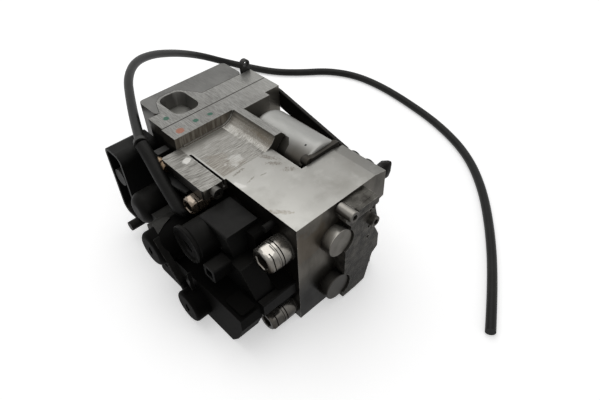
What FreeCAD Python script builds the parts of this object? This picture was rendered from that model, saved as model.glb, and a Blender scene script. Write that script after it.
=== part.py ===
# Brake pressure modulator: a machined valve block with its pump motor, control bores,
# solenoid valves, electronics and feed hose. Millimetres, +Z up, +Y towards the rear cover.
import FreeCAD, Part
import math
import os
import re
import Sketcher

doc = FreeCAD.newDocument("brake_modulator")
sheet = doc.addObject("Spreadsheet::Sheet", "sizes")
worksheet = doc.addObject("Spreadsheet::Sheet", "worked_values")
places = {}
nodes = []
rows = [0]


def add_sizes(group, values):
    """Writes one group of driving dimensions into the sheet."""
    for alias, value in values.items():
        rows[0] += 1
        row = str(rows[0])
        sheet.set("A" + row, group + ": " + alias.replace("_", " "))
        sheet.set("B" + row, str(value))
        sheet.setAlias("B" + row, alias)
    sheet.recompute()


def add_places(values):
    """Names positions that follow from the driving dimensions."""
    places.update(values)


def bound(text):
    """Replaces each name in a formula by its cell, or by the formula that it stands for."""
    def swap(match):
        word = match.group(0)
        if word in places:
            return "(" + bound(places[word]) + ")"
        return word if word in ("sin", "cos", "sqrt") else "sizes." + word
    return re.sub(r"[a-z][a-z_0-9]*", swap, text)


def number(text):
    """Works a formula out on a sheet of its own."""
    worksheet.set("A1", "=" + bound(text) + " + 0")
    worksheet.recompute()
    return float(worksheet.get("A1"))


def point(at):
    return FreeCAD.Vector(*[number(text) for text in at])


TURNS = {
    "Z": FreeCAD.Rotation(),
    "-Z": FreeCAD.Rotation(FreeCAD.Vector(1, 0, 0), 180),
    "X": FreeCAD.Rotation(FreeCAD.Vector(0, 1, 0), 90),
    "-X": FreeCAD.Rotation(FreeCAD.Vector(0, 1, 0), -90),
    "Y": FreeCAD.Rotation(FreeCAD.Vector(1, 0, 0), -90),
    "-Y": FreeCAD.Rotation(FreeCAD.Vector(1, 0, 0), 90),
}
PLANES = {"XY": "xyz", "XZ": "xzy", "YZ": "yzx"}
TIE = 0.001


def place(item, at, turn="Z"):
    """Binds an object's position to three formulas."""
    item.Placement = FreeCAD.Placement(point(at), TURNS[turn])
    for axis, text in zip("xyz", at):
        item.setExpression(".Placement.Base." + axis, bound(text))
    return item


def box(name, at, length):
    item = doc.addObject("Part::Box", name)
    for side, text in zip(("Length", "Width", "Height"), length):
        item.setExpression(side, bound(text))
    return place(item, at)


def rod(name, at, turn, radius, length):
    item = doc.addObject("Part::Cylinder", name)
    item.setExpression("Radius", bound(radius))
    item.setExpression("Height", bound(length))
    return place(item, at, turn)


def fuse(name, shapes):
    item = doc.addObject("Part::MultiFuse", name)
    item.Shapes = shapes
    return item


def cut(name, base, tools):
    item = doc.addObject("Part::Cut", name)
    item.Base = base
    item.Tool = tools[0] if len(tools) == 1 else fuse(name + "_tools", tools)
    return item


def group(name, shapes):
    """Keeps alike pieces together as separate solids."""
    item = doc.addObject("Part::Compound", name)
    item.Links = list(shapes)
    return item


def new_body(name):
    return doc.addObject("PartDesign::Body", name)


def outline(body, name, plane, corners):
    """Draws a closed outline whose corners are bound to the sheet."""
    sketch = body.newObject("Sketcher::SketchObject", name)
    role = plane + "_Plane"
    support = [item for item in body.Origin.OriginFeatures if item.Role == role][0]
    sketch.AttachmentSupport = (support, [""])
    sketch.MapMode = "FlatFace"
    spots = [FreeCAD.Vector(number(u), number(v), 0) for u, v in corners]
    count = len(spots)
    for index in range(count):
        sketch.addGeometry(Part.LineSegment(spots[index], spots[(index + 1) % count]))
    for index in range(count):
        sketch.addConstraint(Sketcher.Constraint("Coincident", index, 2, (index + 1) % count, 1))
    for index, corner in enumerate(corners):
        for kind, text in zip(("DistanceX", "DistanceY"), corner):
            line = Sketcher.Constraint(kind, -1, 1, index, 1, number(text))
            placed = sketch.addConstraint(line)
            sketch.setExpression("Constraints[" + str(placed) + "]", bound(text))
    return sketch


def edges_through(shape, test):
    return ["Edge" + str(index + 1) for index, edge in enumerate(shape.Edges) if test(edge)]


def soften(body, name, radius, test, kind="Fillet"):
    """Rounds or chamfers the edges of a body's last feature that pass a test."""
    tip = body.Tip
    edges = edges_through(tip.Shape, test)
    if not edges:
        raise ValueError("no edge to soften on " + name)
    item = body.newObject("PartDesign::" + kind, name)
    item.Base = (tip, edges)
    item.setExpression("Radius" if kind == "Fillet" else "Size", bound(radius))
    item.recompute(True)
    return item


def prism(name, plane, corners, at, depth, rounds=()):
    """Extrudes an outline along the plane's positive normal and rounds chosen corners."""
    body = new_body(name)
    pad = body.newObject("PartDesign::Pad", name + "_pad")
    sketch = outline(body, name + "_outline", plane, corners)
    pad.Profile = sketch
    pad.setExpression("Length", bound(depth))
    pad.Reversed = plane == "XZ"
    body.Tip = pad
    pad.recompute(True)
    first, second, normal = PLANES[plane]
    for turn, (chosen, radius) in enumerate(rounds):
        spots = [(number(corners[index][0]), number(corners[index][1])) for index in chosen]

        def at_corner(edge, spots=spots):
            start, end = edge.Vertexes[0].Point, edge.Vertexes[-1].Point
            across, level = getattr(start, first), getattr(start, second)
            along = abs(getattr(start, normal) - getattr(end, normal)) > TIE
            still = math.hypot(across - getattr(end, first), level - getattr(end, second)) < TIE
            near = any(math.hypot(across - u, level - v) < 10 * TIE for u, v in spots)
            return along and still and near
        soften(body, name + "_round_" + str(turn + 1), radius, at_corner)
    return place(body, at)


def turned(name, profile, at, turn, rounds=()):
    """Revolves a (radius, distance) profile; the distance runs from at along the turn's axis."""
    body = new_body(name)
    sketch = outline(body, name + "_profile", "XZ", profile)
    revolve = body.newObject("PartDesign::Revolution", name + "_turned")
    revolve.Profile = sketch
    revolve.ReferenceAxis = (sketch, ["V_Axis"])
    revolve.Angle = 360
    body.Tip = revolve
    revolve.recompute(True)
    for step, (index, radius) in enumerate(rounds):
        around, height = number(profile[index][0]), number(profile[index][1])

        def at_rim(edge, around=around, height=height):
            if not isinstance(edge.Curve, Part.Circle):
                return False
            level = abs(edge.Curve.Center.z - height) < TIE
            return level and abs(edge.Curve.Radius - around) < TIE
        soften(body, name + "_rim_" + str(step + 1), radius, at_rim)
    return place(body, at, turn)


def rounded_box(name, at, length, radius, along):
    """Makes a box with the four edges along one axis rounded."""
    body = new_body(name)
    block = body.newObject("PartDesign::AdditiveBox", name + "_block")
    for side, text in zip(("Length", "Width", "Height"), length):
        block.setExpression(side, bound(text))
    block.recompute(True)
    axis = along.lower()

    def parallel(edge):
        start, end = edge.Vertexes[0].Point, edge.Vertexes[-1].Point
        return abs(getattr(start, axis) - getattr(end, axis)) > TIE
    soften(body, name + "_round", radius, parallel)
    return place(body, at)


def node(item, name):
    """Registers a finished sub-part under the name of its file."""
    item.Label = name
    nodes.append(item)
    return item


# Main dimensions of the whole unit
UNIT_SIZES = {
    "deck_width": 85, "deck_length": 124, "deck_height": 95,
    "slab_depth": 17.5, "slab_rise": 9.5, "slab_left": 6, "slab_right": 12, "slab_step": 5.5,
    "plate_depth": 19.5, "cover_depth": 27,
}
add_sizes("Unit", UNIT_SIZES)
add_places({
    "left": "0 - deck_width / 2",
    "right": "deck_width / 2",
    "front": "0 - (deck_length + slab_depth + plate_depth + cover_depth) / 2",
    "slab_face": "front + deck_length",
    "plate_face": "slab_face + slab_depth",
    "cover_face": "plate_face + plate_depth",
    "back": "cover_face + cover_depth",
    "slab_top": "deck_height + slab_rise",
})

# Pump motor and pump, shared by the block and the pieces that seat in it
MOTOR_SIZES = {
    "motor_radius": 20.5, "motor_gap": 0.8, "motor_inset": 16.8, "motor_drop": 14.2,
    "recess_front": 41.7, "recess_wall": 23.8, "shaft_radius": 3.97, "shaft_play": 0.03,
    "flange_depth": 4.8, "can_start": 8.3, "can_gap": 8.5, "can_wall": 2, "can_round": 7,
    "chamber_radius": 9, "chamber_start": 14, "shaft_start": 9,
}
add_sizes("Motor", MOTOR_SIZES)
add_places({
    "motor_x": "right - motor_inset",
    "motor_z": "deck_height - motor_drop",
    "recess_y": "front + recess_front",
    "shaft_bore": "shaft_radius + shaft_play",
})
PUMP_SIZES = {
    "plunger_bore": 5, "plunger_play": 0.05, "plunger_length": 6,
    "lobe_radius": 6, "lobe_throw": 1.2, "lobe_gap": 0.3, "lobe_length": 6,
    "front_lobe": 19.5, "lobe_pitch": 14,
    "pump_plug_radius": 6, "pump_plug_seat": 3, "pump_plug_head": 6.8, "pump_plug_head_length": 6,
    "pump_spring_radius": 3.6, "pump_spring_wire": 0.8,
}
add_sizes("Pump", PUMP_SIZES)

# Control bores in the front face
CONTROL_BORES_SIZES = {
    "upper_bore_across": 32.5, "upper_bore_drop": 30, "lower_bore_across": 30.4,
    "lower_bore_height": 18, "piston_bore": 8, "piston_play": 0.05, "bore_length": 60,
    "plug_thread_radius": 10, "plug_thread_length": 12, "plug_head_radius": 11.3,
    "plug_head_length": 8.5, "plug_edge": 0.6, "piston_length": 16, "piston_spring_wire": 1.5,
}
add_sizes("Control bores", CONTROL_BORES_SIZES)
add_places({"upper_bore_height": "deck_height - upper_bore_drop"})

# Valves and line ports on the left face. A back distance runs from the slab, a drop from the deck's
# top, an along distance from the front and a height from the base.
VALVES_SIZES = {
    "front_valve_back": 62, "front_valve_drop": 26, "front_valve_radius": 13.5, "front_valve_reach": 43,
    "rear_valve_back": 31, "rear_valve_drop": 45, "rear_valve_radius": 14, "rear_valve_reach": 60,
    "lower_valve_back": 67, "lower_valve_z": 16, "lower_valve_radius": 13, "lower_valve_reach": 60,
    "valve_seat_radius": 4, "valve_seat_depth": 20, "armature_bore": 5.05, "armature_play": 0.05,
    "armature_travel": 0.6, "valve_tube_wall": 1.2, "valve_wall": 2.6, "valve_cap_depth": 5,
    "valve_pin_radius": 1.5, "valve_pin_reach": 12, "valve_socket_radius": 2.6,
    "valve_socket_depth": 3,
}
add_sizes("Valves", VALVES_SIZES)
add_places({
    "front_valve_y": "slab_face - front_valve_back",
    "front_valve_z": "deck_height - front_valve_drop",
    "rear_valve_y": "slab_face - rear_valve_back",
    "rear_valve_z": "deck_height - rear_valve_drop",
    "lower_valve_y": "slab_face - lower_valve_back",
})
VALVES = ("front_valve", "rear_valve", "lower_valve")
LINE_PORTS_SIZES = {
    "upper_port_along": 13, "upper_port_drop": 24, "upper_port_radius": 11.5, "upper_port_reach": 20,
    "lower_port_along": 10.5, "lower_port_z": 9.6, "lower_port_radius": 9, "lower_port_reach": 24,
    "rear_port_back": 40, "rear_port_drop": 17, "rear_port_radius": 8.3, "rear_port_reach": 27.5,
    "port_thread_share": 0.6, "port_thread_depth": 14, "washer_depth": 1.6, "washer_inset": 1,
    "port_groove_width": 1, "port_groove_depth": 1.1, "port_socket_depth": 6, "port_rim": 1.2,
}
add_sizes("Line ports", LINE_PORTS_SIZES)
add_places({
    "upper_port_y": "front + upper_port_along",
    "upper_port_z": "deck_height - upper_port_drop",
    "lower_port_y": "front + lower_port_along",
    "rear_port_y": "slab_face - rear_port_back",
    "rear_port_z": "deck_height - rear_port_drop",
})
PORTS = ("upper_port", "lower_port", "rear_port")

# Valve block: deck, slab, rib, trough and all of its bores
BLOCK_SIZES = {
    "flange_overhang": 2, "flange_drop": 26.4, "flange_slope": 2.1, "body_inset": 7,
    "edge_slope_width": 11.5, "edge_slope_drop": 2.6,
    "rib_length": 49.5, "rib_crest_gap": 13.3, "rib_side_gap": 8,
    "rib_shoulder": 4, "trough_radius": 14, "trough_floor": 0.3, "trough_gap": 32.7,
    "lip_width": 1.2, "lip_rise": 1, "slab_step_gap": 19.7,
    "rail_width": 20, "rail_length": 52, "rail_height": 8.5, "rail_slot_near": 1.5,
    "rail_slot_far": 3.4, "rail_slot_gap": 12, "rail_slot_depth": 6, "rail_round": 2.5,
    "mount_hole_radius": 2.5, "mount_hole_depth": 12, "mount_left": 8.5, "mount_right": 14.5,
    "mount_front": 34, "mount_rear": 17.5, "rail_screw_thread": 2, "rail_screw_depth": 10,
    "rail_screw_across": 11, "rail_screw_drop": 4.3, "rail_screw_play": 0.05, "overshoot": 1,
    "corner_inset": 3, "corner_depth": 5.5,
}
add_sizes("Block", BLOCK_SIZES)
add_places({
    "body_right": "right - body_inset",
    "flange_right": "right + flange_overhang",
    "flange_bottom": "deck_height - flange_drop",
    "rib_y": "slab_face - rib_length",
    "rail_y": "slab_face - rail_length",
    "trough_x": "motor_x - trough_gap",
    "trough_z": "deck_height - trough_floor + trough_radius",
})


def block_deck():
    corners = [
        ("left", "0"), ("body_right", "0"), ("body_right", "flange_bottom - flange_slope"),
        ("flange_right", "flange_bottom"), ("flange_right", "deck_height - edge_slope_drop"),
        ("flange_right - edge_slope_width", "deck_height"), ("left", "deck_height"),
    ]
    return prism("block_deck", "XZ", corners, ("0", "front", "0"), "deck_length")


def block_slab():
    slab = box("block_slab", ("left - slab_left", "slab_face", "0"),
               ("deck_width + slab_left + slab_right", "slab_depth", "slab_top"))
    step = box("block_slab_step", ("motor_x - slab_step_gap", "slab_face - slab_step", "0"),
               ("right + slab_right - motor_x + slab_step_gap", "slab_step", "slab_top"))
    return [slab, step]


def block_rib():
    crest = "slab_top"
    foot = "deck_height - overshoot"
    corners = [
        ("trough_x", foot), ("motor_x - rib_side_gap", foot),
        ("motor_x - rib_side_gap", "deck_height + rib_shoulder"), ("motor_x - rib_crest_gap", crest),
        ("trough_x", crest),
    ]
    rib = prism("block_rib", "XZ", corners, ("0", "rib_y", "0"), "rib_length")
    lip = box("block_lip", ("left", "slab_face - lip_width", "deck_height - overshoot"),
              ("trough_x - left", "lip_width", "overshoot + lip_rise"))
    return [rib, lip]


def block_rail():
    start = ("left - rail_width", "rail_y", "deck_height - rail_height")
    length = ("rail_width + 2 * rail_round", "rail_length", "rail_height")
    return rounded_box("block_rail", start, length, "rail_round", "Z")


def trough_cuts():
    near = ("trough_x", "rib_y", "trough_z")
    length = "rib_length - lip_width"
    sweep = rod("trough_sweep", near, "Y", "trough_radius", length)
    floor = box("trough_floor_cut", ("left - overshoot", "rib_y", "deck_height - trough_floor"),
                ("trough_x - left + overshoot", length, "trough_radius"))
    lip = rod("trough_lip_sweep", ("trough_x", "slab_face - lip_width - overshoot", "trough_z"), "Y",
              "trough_radius - lip_rise", "lip_width + overshoot")
    return [sweep, floor, lip]


def motor_cuts():
    bore_length = "deck_length - slab_step - recess_front"
    bore = rod("motor_bore", ("motor_x", "recess_y", "motor_z"), "Y", "motor_radius + motor_gap",
               bore_length)
    wide = "recess_wall + slab_right + deck_width"
    tall = "motor_drop + slab_rise + overshoot"
    recess = box("motor_recess", ("motor_x - recess_wall", "recess_y", "motor_z"),
                 (wide, "rib_y - recess_y", tall))
    side = box("motor_side_recess", ("motor_x", "recess_y", "motor_z"), (wide, bore_length, tall))
    under = box("motor_under_recess", ("body_right", "recess_y",
                                       "flange_bottom - flange_slope - overshoot"),
                (wide, bore_length, "motor_z - flange_bottom + flange_slope + 2 * overshoot"))
    return [bore, recess, side, under]


def pump_cuts():
    chamber = rod("pump_chamber", ("motor_x", "front + chamber_start", "motor_z"), "Y",
                  "chamber_radius", "recess_front - chamber_start + overshoot")
    pilot = rod("pump_pilot", ("motor_x", "front + shaft_start - overshoot", "motor_z"), "Y",
                "shaft_bore", "chamber_start - shaft_start + 2 * overshoot")
    tools = [chamber, pilot]
    for index, label in enumerate(("front", "rear")):
        lobe_y = "front + front_lobe + " + str(index) + " * lobe_pitch"
        tools.append(rod(label + "_plunger_bore", ("motor_x", lobe_y, "motor_z"), "X",
                         "plunger_bore", "flange_right - motor_x"))
        tools.append(rod(label + "_pump_plug_bore", ("flange_right - pump_plug_seat", lobe_y, "motor_z"),
                         "X", "pump_plug_radius", "pump_plug_seat + overshoot"))
    return tools


def control_cuts():
    tools = []
    for label in ("upper", "lower"):
        at = ("left + " + label + "_bore_across", "front - overshoot", label + "_bore_height")
        tools.append(rod(label + "_control_bore", at, "Y", "piston_bore", "bore_length + overshoot"))
        tools.append(rod(label + "_plug_bore", at, "Y", "plug_thread_radius",
                         "plug_thread_length + overshoot"))
    return tools


def side_cuts():
    tools = []
    for label in VALVES:
        at = ("left - overshoot", label + "_y", label + "_z")
        tools.append(rod(label + "_seat", at, "X", "valve_seat_radius", "valve_seat_depth + overshoot"))
    for label in PORTS:
        at = ("left - overshoot", label + "_y", label + "_z")
        tools.append(rod(label + "_bore", at, "X", label + "_radius * port_thread_share",
                         "port_thread_depth + overshoot"))
    return tools


def mounting_cuts():
    tools = []
    for side, across in (("left", "left + mount_left"), ("right", "right - mount_right")):
        for end, along in (("front", "front + mount_front"), ("rear", "plate_face - mount_rear")):
            tools.append(rod("mount_" + side + "_" + end, (across, along, "0 - overshoot"), "Z",
                             "mount_hole_radius", "mount_hole_depth + overshoot"))
    return tools


def rail_cuts():
    slot = box("rail_slot", ("left - rail_slot_far", "rail_y - overshoot",
                             "deck_height - rail_slot_depth"),
               ("rail_slot_far - rail_slot_near", "rail_length - rail_slot_gap + overshoot",
                "rail_slot_depth + overshoot"))
    at = ("left - rail_screw_across", "rail_y - overshoot", "deck_height - rail_screw_drop")
    thread = rod("rail_screw_bore", at, "Y", "rail_screw_thread", "rail_screw_depth + overshoot")
    return [slot, thread]


def valve_block():
    solid = fuse("valve_block_solid", [block_deck(), *block_slab(), *block_rib(), block_rail()])
    tools = trough_cuts() + motor_cuts() + pump_cuts() + control_cuts() + side_cuts()
    corner = box("slab_corner_relief", ("right - corner_inset", "slab_face - slab_step - overshoot",
                                        "0 - overshoot"),
                 ("slab_right + corner_inset + overshoot", "corner_depth + overshoot",
                  "slab_top + 2 * overshoot"))
    node(cut("valve_block", solid, tools + mounting_cuts() + rail_cuts() + [corner]), "valve_block")


# Rear plate with the reservoir pocket, and its two gaskets
REAR_PLATE_SIZES = {
    "plate_left": 5, "gasket_depth": 0.5, "gasket_inset": 0.3,
    "bulge_height": 40, "bulge_left": 5, "bulge_near_left": 11.5, "bulge_far_left": 17,
    "bulge_far_right": 33, "bulge_near_right": 39.5, "bulge_right": 46,
    "bulge_reach": 20, "bulge_near_reach": 15, "bulge_side_reach": 11, "bulge_round": 5,
    "pocket_left": 13, "pocket_right": 36, "pocket_front": 5.5, "pocket_length": 32,
    "pocket_depth": 14, "pocket_round": 8, "pocket_hole_radius": 1.6, "pocket_hole_across": 26,
    "pocket_hole_along": 19, "pocket_hole_depth": 12,
}
add_sizes("Rear plate", REAR_PLATE_SIZES)
add_places({"plate_front": "plate_face + gasket_depth"})


def bulge_corners(grow):
    """Outline of the pocket's bulge, in the plan, grown by a margin."""
    return [
        ("left + bulge_left - " + grow, "cover_face - overshoot"),
        ("left + bulge_left - " + grow, "cover_face"),
        ("left + bulge_near_left - " + grow, "cover_face + bulge_near_reach"),
        ("left + bulge_far_left", "cover_face + bulge_reach + " + grow),
        ("left + bulge_far_right", "cover_face + bulge_reach + " + grow),
        ("left + bulge_near_right + " + grow, "cover_face + bulge_side_reach"),
        ("left + bulge_right + " + grow, "cover_face"),
        ("left + bulge_right + " + grow, "cover_face - overshoot"),
    ]


def bulge(name, grow):
    at = ("0", "0", "slab_top - bulge_height - " + grow)
    return prism(name, "XY", bulge_corners(grow), at, "bulge_height + " + grow,
                 [((3, 4), "bulge_round + " + grow)])


def rear_plate():
    slab = box("rear_plate_slab", ("left - plate_left", "plate_front", "0"),
               ("deck_width + plate_left + slab_right", "cover_face - plate_front", "slab_top"))
    pocket = rounded_box("rear_plate_pocket", ("left + pocket_left", "plate_face + pocket_front",
                                               "slab_top - pocket_depth"),
                         ("pocket_right - pocket_left", "pocket_length", "pocket_depth + overshoot"),
                         "pocket_round", "Z")
    drain = rod("rear_plate_drain", ("left + pocket_hole_across", "plate_face + pocket_hole_along",
                                     "slab_top - pocket_depth - pocket_hole_depth"),
                "Z", "pocket_hole_radius", "pocket_hole_depth + overshoot")
    solid = fuse("rear_plate_solid", [slab, bulge("rear_plate_bulge", "0")])
    node(cut("rear_plate", solid, [pocket, drain, *cover_screw_bores("rear_plate")]), "rear_plate")


def cover_screw_bores(name):
    """Makes the bores for the cover's screws, from the rear plate out through the cover."""
    bores = []
    for label, across, height in cover_corners():
        at = (across, "cover_front - cover_screw_bite", height)
        bores.append(rod(name + "_bore_" + label, at, "Y", "cover_screw_radius",
                         "cover_screw_bite + cover_depth + overshoot"))
    return bores


def plate_gasket():
    node(box("plate_gasket", ("left - plate_left + gasket_inset", "plate_face", "gasket_inset"),
             ("deck_width + plate_left + slab_right - 2 * gasket_inset", "gasket_depth",
              "slab_top - 2 * gasket_inset")), "plate_gasket")


# Rear cover over the electronics
REAR_COVER_SIZES = {
    "cover_left": 2, "cover_right": 3, "cover_bottom": 3, "cover_wall": 3, "cover_round": 4,
    "post_radius": 3.2, "post_length": 6, "post_inset": 14, "board_thickness": 1.6,
    "board_inset": 2, "board_top_gap": 46, "cover_screw_inset": 7, "cover_screw_radius": 2.4,
    "cover_screw_head": 4.4, "cover_screw_head_length": 3.6, "cover_screw_bite": 9,
}
add_sizes("Rear cover", REAR_COVER_SIZES)
add_places({
    "cover_front": "cover_face + gasket_depth",
    "cover_x": "left + cover_left",
    "cover_width": "deck_width - cover_left + cover_right",
    "board_z": "cover_bottom + cover_wall + board_inset",
    "board_height": "slab_top - board_top_gap - board_z",
    "board_y": "back - cover_wall - post_length - board_thickness",
})


def cover_gasket():
    flat = box("cover_gasket_flat", ("cover_x + gasket_inset", "cover_face", "cover_bottom + gasket_inset"),
               ("cover_width - 2 * gasket_inset", "gasket_depth",
                "slab_top - cover_bottom - 2 * gasket_inset"))
    window = box("cover_gasket_window", ("cover_x + cover_wall", "cover_face - overshoot", "board_z"),
                 ("cover_width - 2 * cover_wall", "gasket_depth + 2 * overshoot", "board_height"))
    solid = fuse("cover_gasket_solid", [flat, bulge("cover_gasket_outer", "gasket_depth")])
    plate_side = box("cover_gasket_trim", ("left - slab_left", "cover_face - 2 * overshoot", "0 - overshoot"),
                     ("deck_width + slab_left + slab_right", "2 * overshoot", "slab_top + 2 * overshoot"))
    above = box("cover_gasket_top_trim", ("left - slab_left", "cover_face - overshoot",
                                          "slab_top - gasket_inset"),
                ("deck_width + slab_left + slab_right", "cover_depth", "gasket_depth + overshoot"))
    tools = [bulge("cover_gasket_inner", "0"), window, plate_side, above]
    node(cut("cover_gasket", solid, tools + cover_screw_bores("cover_gasket")), "cover_gasket")


def cover_corners():
    """Yields the plan of the cover's screws as (name, across, height)."""
    for side, across in (("left", "cover_x + cover_screw_inset"),
                         ("right", "cover_x + cover_width - cover_screw_inset")):
        yield side + "_low", across, "cover_bottom + cover_screw_inset"
        yield side + "_high", across, "slab_top - board_top_gap + cover_screw_inset"


def rear_cover():
    shell = rounded_box("rear_cover_shell", ("cover_x", "cover_front", "cover_bottom"),
                        ("cover_width", "back - cover_front", "slab_top - cover_bottom"),
                        "cover_round", "Z")
    cavity = box("rear_cover_cavity", ("cover_x + cover_wall + 2 * cover_screw_inset",
                                       "cover_front - overshoot", "board_z - board_inset"),
                 ("cover_width - 2 * cover_wall - 4 * cover_screw_inset",
                  "back - cover_wall - cover_front + overshoot", "board_height + 2 * board_inset"))
    tools = [cavity, bulge("rear_cover_relief", "gasket_depth")]
    shell = cut("rear_cover_hollow", shell, tools + cover_screw_bores("rear_cover"))
    posts = []
    margin = "cover_wall + 2 * cover_screw_inset + post_inset"
    for side, across in (("left", "cover_x + " + margin),
                         ("right", "cover_x + cover_width - (" + margin + ")")):
        posts.append(rod("cover_post_" + side, (across, "board_y + board_thickness",
                                                "board_z + board_height / 2"),
                         "Y", "post_radius", "post_length + cover_wall / 2"))
    node(fuse("rear_cover", [shell, *posts]), "rear_cover")


def circuit_board():
    node(box("circuit_board", ("cover_x + cover_wall + 2 * cover_screw_inset + board_inset", "board_y",
                               "board_z"),
             ("cover_width - 2 * cover_wall - 4 * cover_screw_inset - 2 * board_inset",
              "board_thickness", "board_height")), "circuit_board")


def cover_screws():
    screws = []
    seat = "back - cover_front + cover_screw_bite"
    for label, across, height in cover_corners():
        profile = [
            ("0", "0"), ("cover_screw_radius", "0"), ("cover_screw_radius", seat),
            ("cover_screw_head", seat), ("cover_screw_head", seat + " + cover_screw_head_length"),
            ("0", seat + " + cover_screw_head_length"),
        ]
        at = (across, "cover_front - cover_screw_bite", height)
        screws.append(turned("cover_screw_" + label, profile, at, "Y"))
    node(group("cover_screws", screws), "cover_screws")


# Motor: flange, can, bearings, magnets and brushes
MOTOR_DETAILS_SIZES = {
    "fit_gap": 0.1, "flange_top": 13, "flange_neck": 15, "spigot_length": 4,
    "bearing_radius": 8, "bearing_length": 5, "shaft_hole": 5.2, "seat_ring": 10.5,
    "seat_ring_length": 6, "motor_screw_radius": 2.6, "motor_screw_length": 3,
    "motor_screw_inset": 2.9, "motor_screw_drop": 3.2,
    "magnet_inner": 14.9, "magnet_start": 14, "magnet_end": 20.3, "magnet_gap": 12,
    "armature_radius": 14.3, "armature_start": 16, "armature_end": 22.3,
    "commutator_radius": 6, "commutator_back": 20.3, "commutator_length": 8,
    "brush_gap": 0.4, "brush_length": 6, "brush_width": 5, "brush_height": 5,
    "brush_plate_back": 11.7, "brush_plate_length": 3, "brush_plate_hole": 7,
}
add_sizes("Motor details", MOTOR_DETAILS_SIZES)
add_places({
    "can_y": "recess_y + can_start",
    "can_length": "deck_length - slab_step - can_gap - recess_front - can_start",
    "can_back": "can_start + can_length",
    "magnet_length": "can_back - magnet_end - magnet_start",
    "armature_length": "can_back - armature_end - armature_start",
    "commutator_start": "can_back - commutator_back",
    "brush_plate_start": "can_back - brush_plate_back",
    "inner_radius": "motor_radius - can_wall",
    "rear_bearing_start": "can_start + can_length - can_wall - seat_ring_length",
    "front_bearing_start": "can_start + spigot_length - bearing_length",
})


def motor_can():
    inner_end = "can_length - can_wall"
    profile = [
        ("0", "can_length"), ("motor_radius", "can_length"), ("motor_radius", "0"),
        ("inner_radius", "0"), ("inner_radius", inner_end), ("seat_ring", inner_end),
        ("seat_ring", inner_end + " - seat_ring_length"),
        ("bearing_radius", inner_end + " - seat_ring_length"), ("bearing_radius", inner_end),
        ("0", inner_end),
    ]
    rounds = [(4, "can_round - can_wall"), (1, "can_round")]
    node(turned("motor_can", profile, ("motor_x", "can_y", "motor_z"), "Y", rounds), "motor_can")


def motor_flange():
    spigot = "inner_radius - fit_gap"
    profile = [
        ("shaft_hole", "0"), ("motor_radius", "0"), ("motor_radius", "flange_depth"),
        ("flange_neck", "flange_depth"), ("flange_neck", "can_start"), (spigot, "can_start"),
        (spigot, "can_start + spigot_length"), ("bearing_radius", "can_start + spigot_length"),
        ("bearing_radius", "front_bearing_start"), ("shaft_hole", "front_bearing_start"),
    ]
    disc = turned("motor_flange_disc", profile, ("motor_x", "recess_y", "motor_z"), "Y")
    ears = box("motor_flange_ears", ("motor_x - motor_radius", "recess_y", "motor_z"),
               ("2 * motor_radius", "flange_depth", "flange_top"))
    hole = rod("motor_flange_hole", ("motor_x", "recess_y - overshoot", "motor_z"), "Y", "shaft_hole",
               "flange_depth + 2 * overshoot")
    node(fuse("motor_flange", [disc, cut("motor_flange_top", ears, [hole])]), "motor_flange")


def motor_screws():
    screws = []
    for side, sign in (("left", "-"), ("right", "+")):
        at = ("motor_x " + sign + " (motor_radius - motor_screw_inset)", "recess_y + flange_depth",
              "motor_z + flange_top - motor_screw_drop")
        screws.append(rod("motor_screw_" + side, at, "Y", "motor_screw_radius", "motor_screw_length"))
    node(group("motor_screws", screws), "motor_screws")


def shaft_bearings():
    rings = []
    for label, start in (("front", "front_bearing_start"), ("rear", "rear_bearing_start")):
        profile = [
            ("shaft_bore", "0"), ("bearing_radius", "0"), ("bearing_radius", "bearing_length"),
            ("shaft_bore", "bearing_length"),
        ]
        rings.append(turned(label + "_bearing", profile, ("motor_x", "recess_y + " + start, "motor_z"), "Y"))
    node(group("shaft_bearings", rings), "shaft_bearings")


def motor_magnets():
    outer = "inner_radius - fit_gap"
    profile = [
        ("magnet_inner", "0"), (outer, "0"), (outer, "magnet_length"), ("magnet_inner", "magnet_length"),
    ]
    ring = turned("magnet_ring", profile, ("motor_x", "recess_y + magnet_start", "motor_z"), "Y")
    gap = box("magnet_split", ("motor_x - motor_radius", "recess_y", "motor_z - magnet_gap / 2"),
              ("2 * motor_radius", "magnet_start + magnet_length + overshoot", "magnet_gap"))
    node(cut("motor_magnets", ring, [gap]), "motor_magnets")


def brush_plate():
    outer = "inner_radius - fit_gap"
    profile = [
        ("brush_plate_hole", "0"), (outer, "0"), (outer, "brush_plate_length"),
        ("brush_plate_hole", "brush_plate_length"),
    ]
    node(turned("brush_plate", profile, ("motor_x", "recess_y + brush_plate_start", "motor_z"), "Y"),
         "brush_plate")


def motor_brushes():
    brushes = []
    for side, across in (("left", "motor_x - commutator_radius - brush_gap - brush_length"),
                         ("right", "motor_x + commutator_radius + brush_gap")):
        at = (across, "recess_y + brush_plate_start - brush_width", "motor_z - brush_height / 2")
        brushes.append(box(side + "_brush", at, ("brush_length", "brush_width", "brush_height")))
    node(group("motor_brushes", brushes), "motor_brushes")


def pump_shaft():
    length = "recess_front - shaft_start + rear_bearing_start + bearing_length"
    shaft = rod("pump_shaft_bar", ("motor_x", "front + shaft_start", "motor_z"), "Y", "shaft_radius", length)
    pieces = [shaft]
    for index, sign in enumerate("+-"):
        lobe_y = "front + front_lobe + " + str(index) + " * lobe_pitch - lobe_length / 2"
        at = ("motor_x " + sign + " lobe_throw", lobe_y, "motor_z")
        pieces.append(rod("pump_lobe_" + str(index + 1), at, "Y", "lobe_radius", "lobe_length"))
    node(fuse("pump_shaft", pieces), "pump_shaft")


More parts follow.
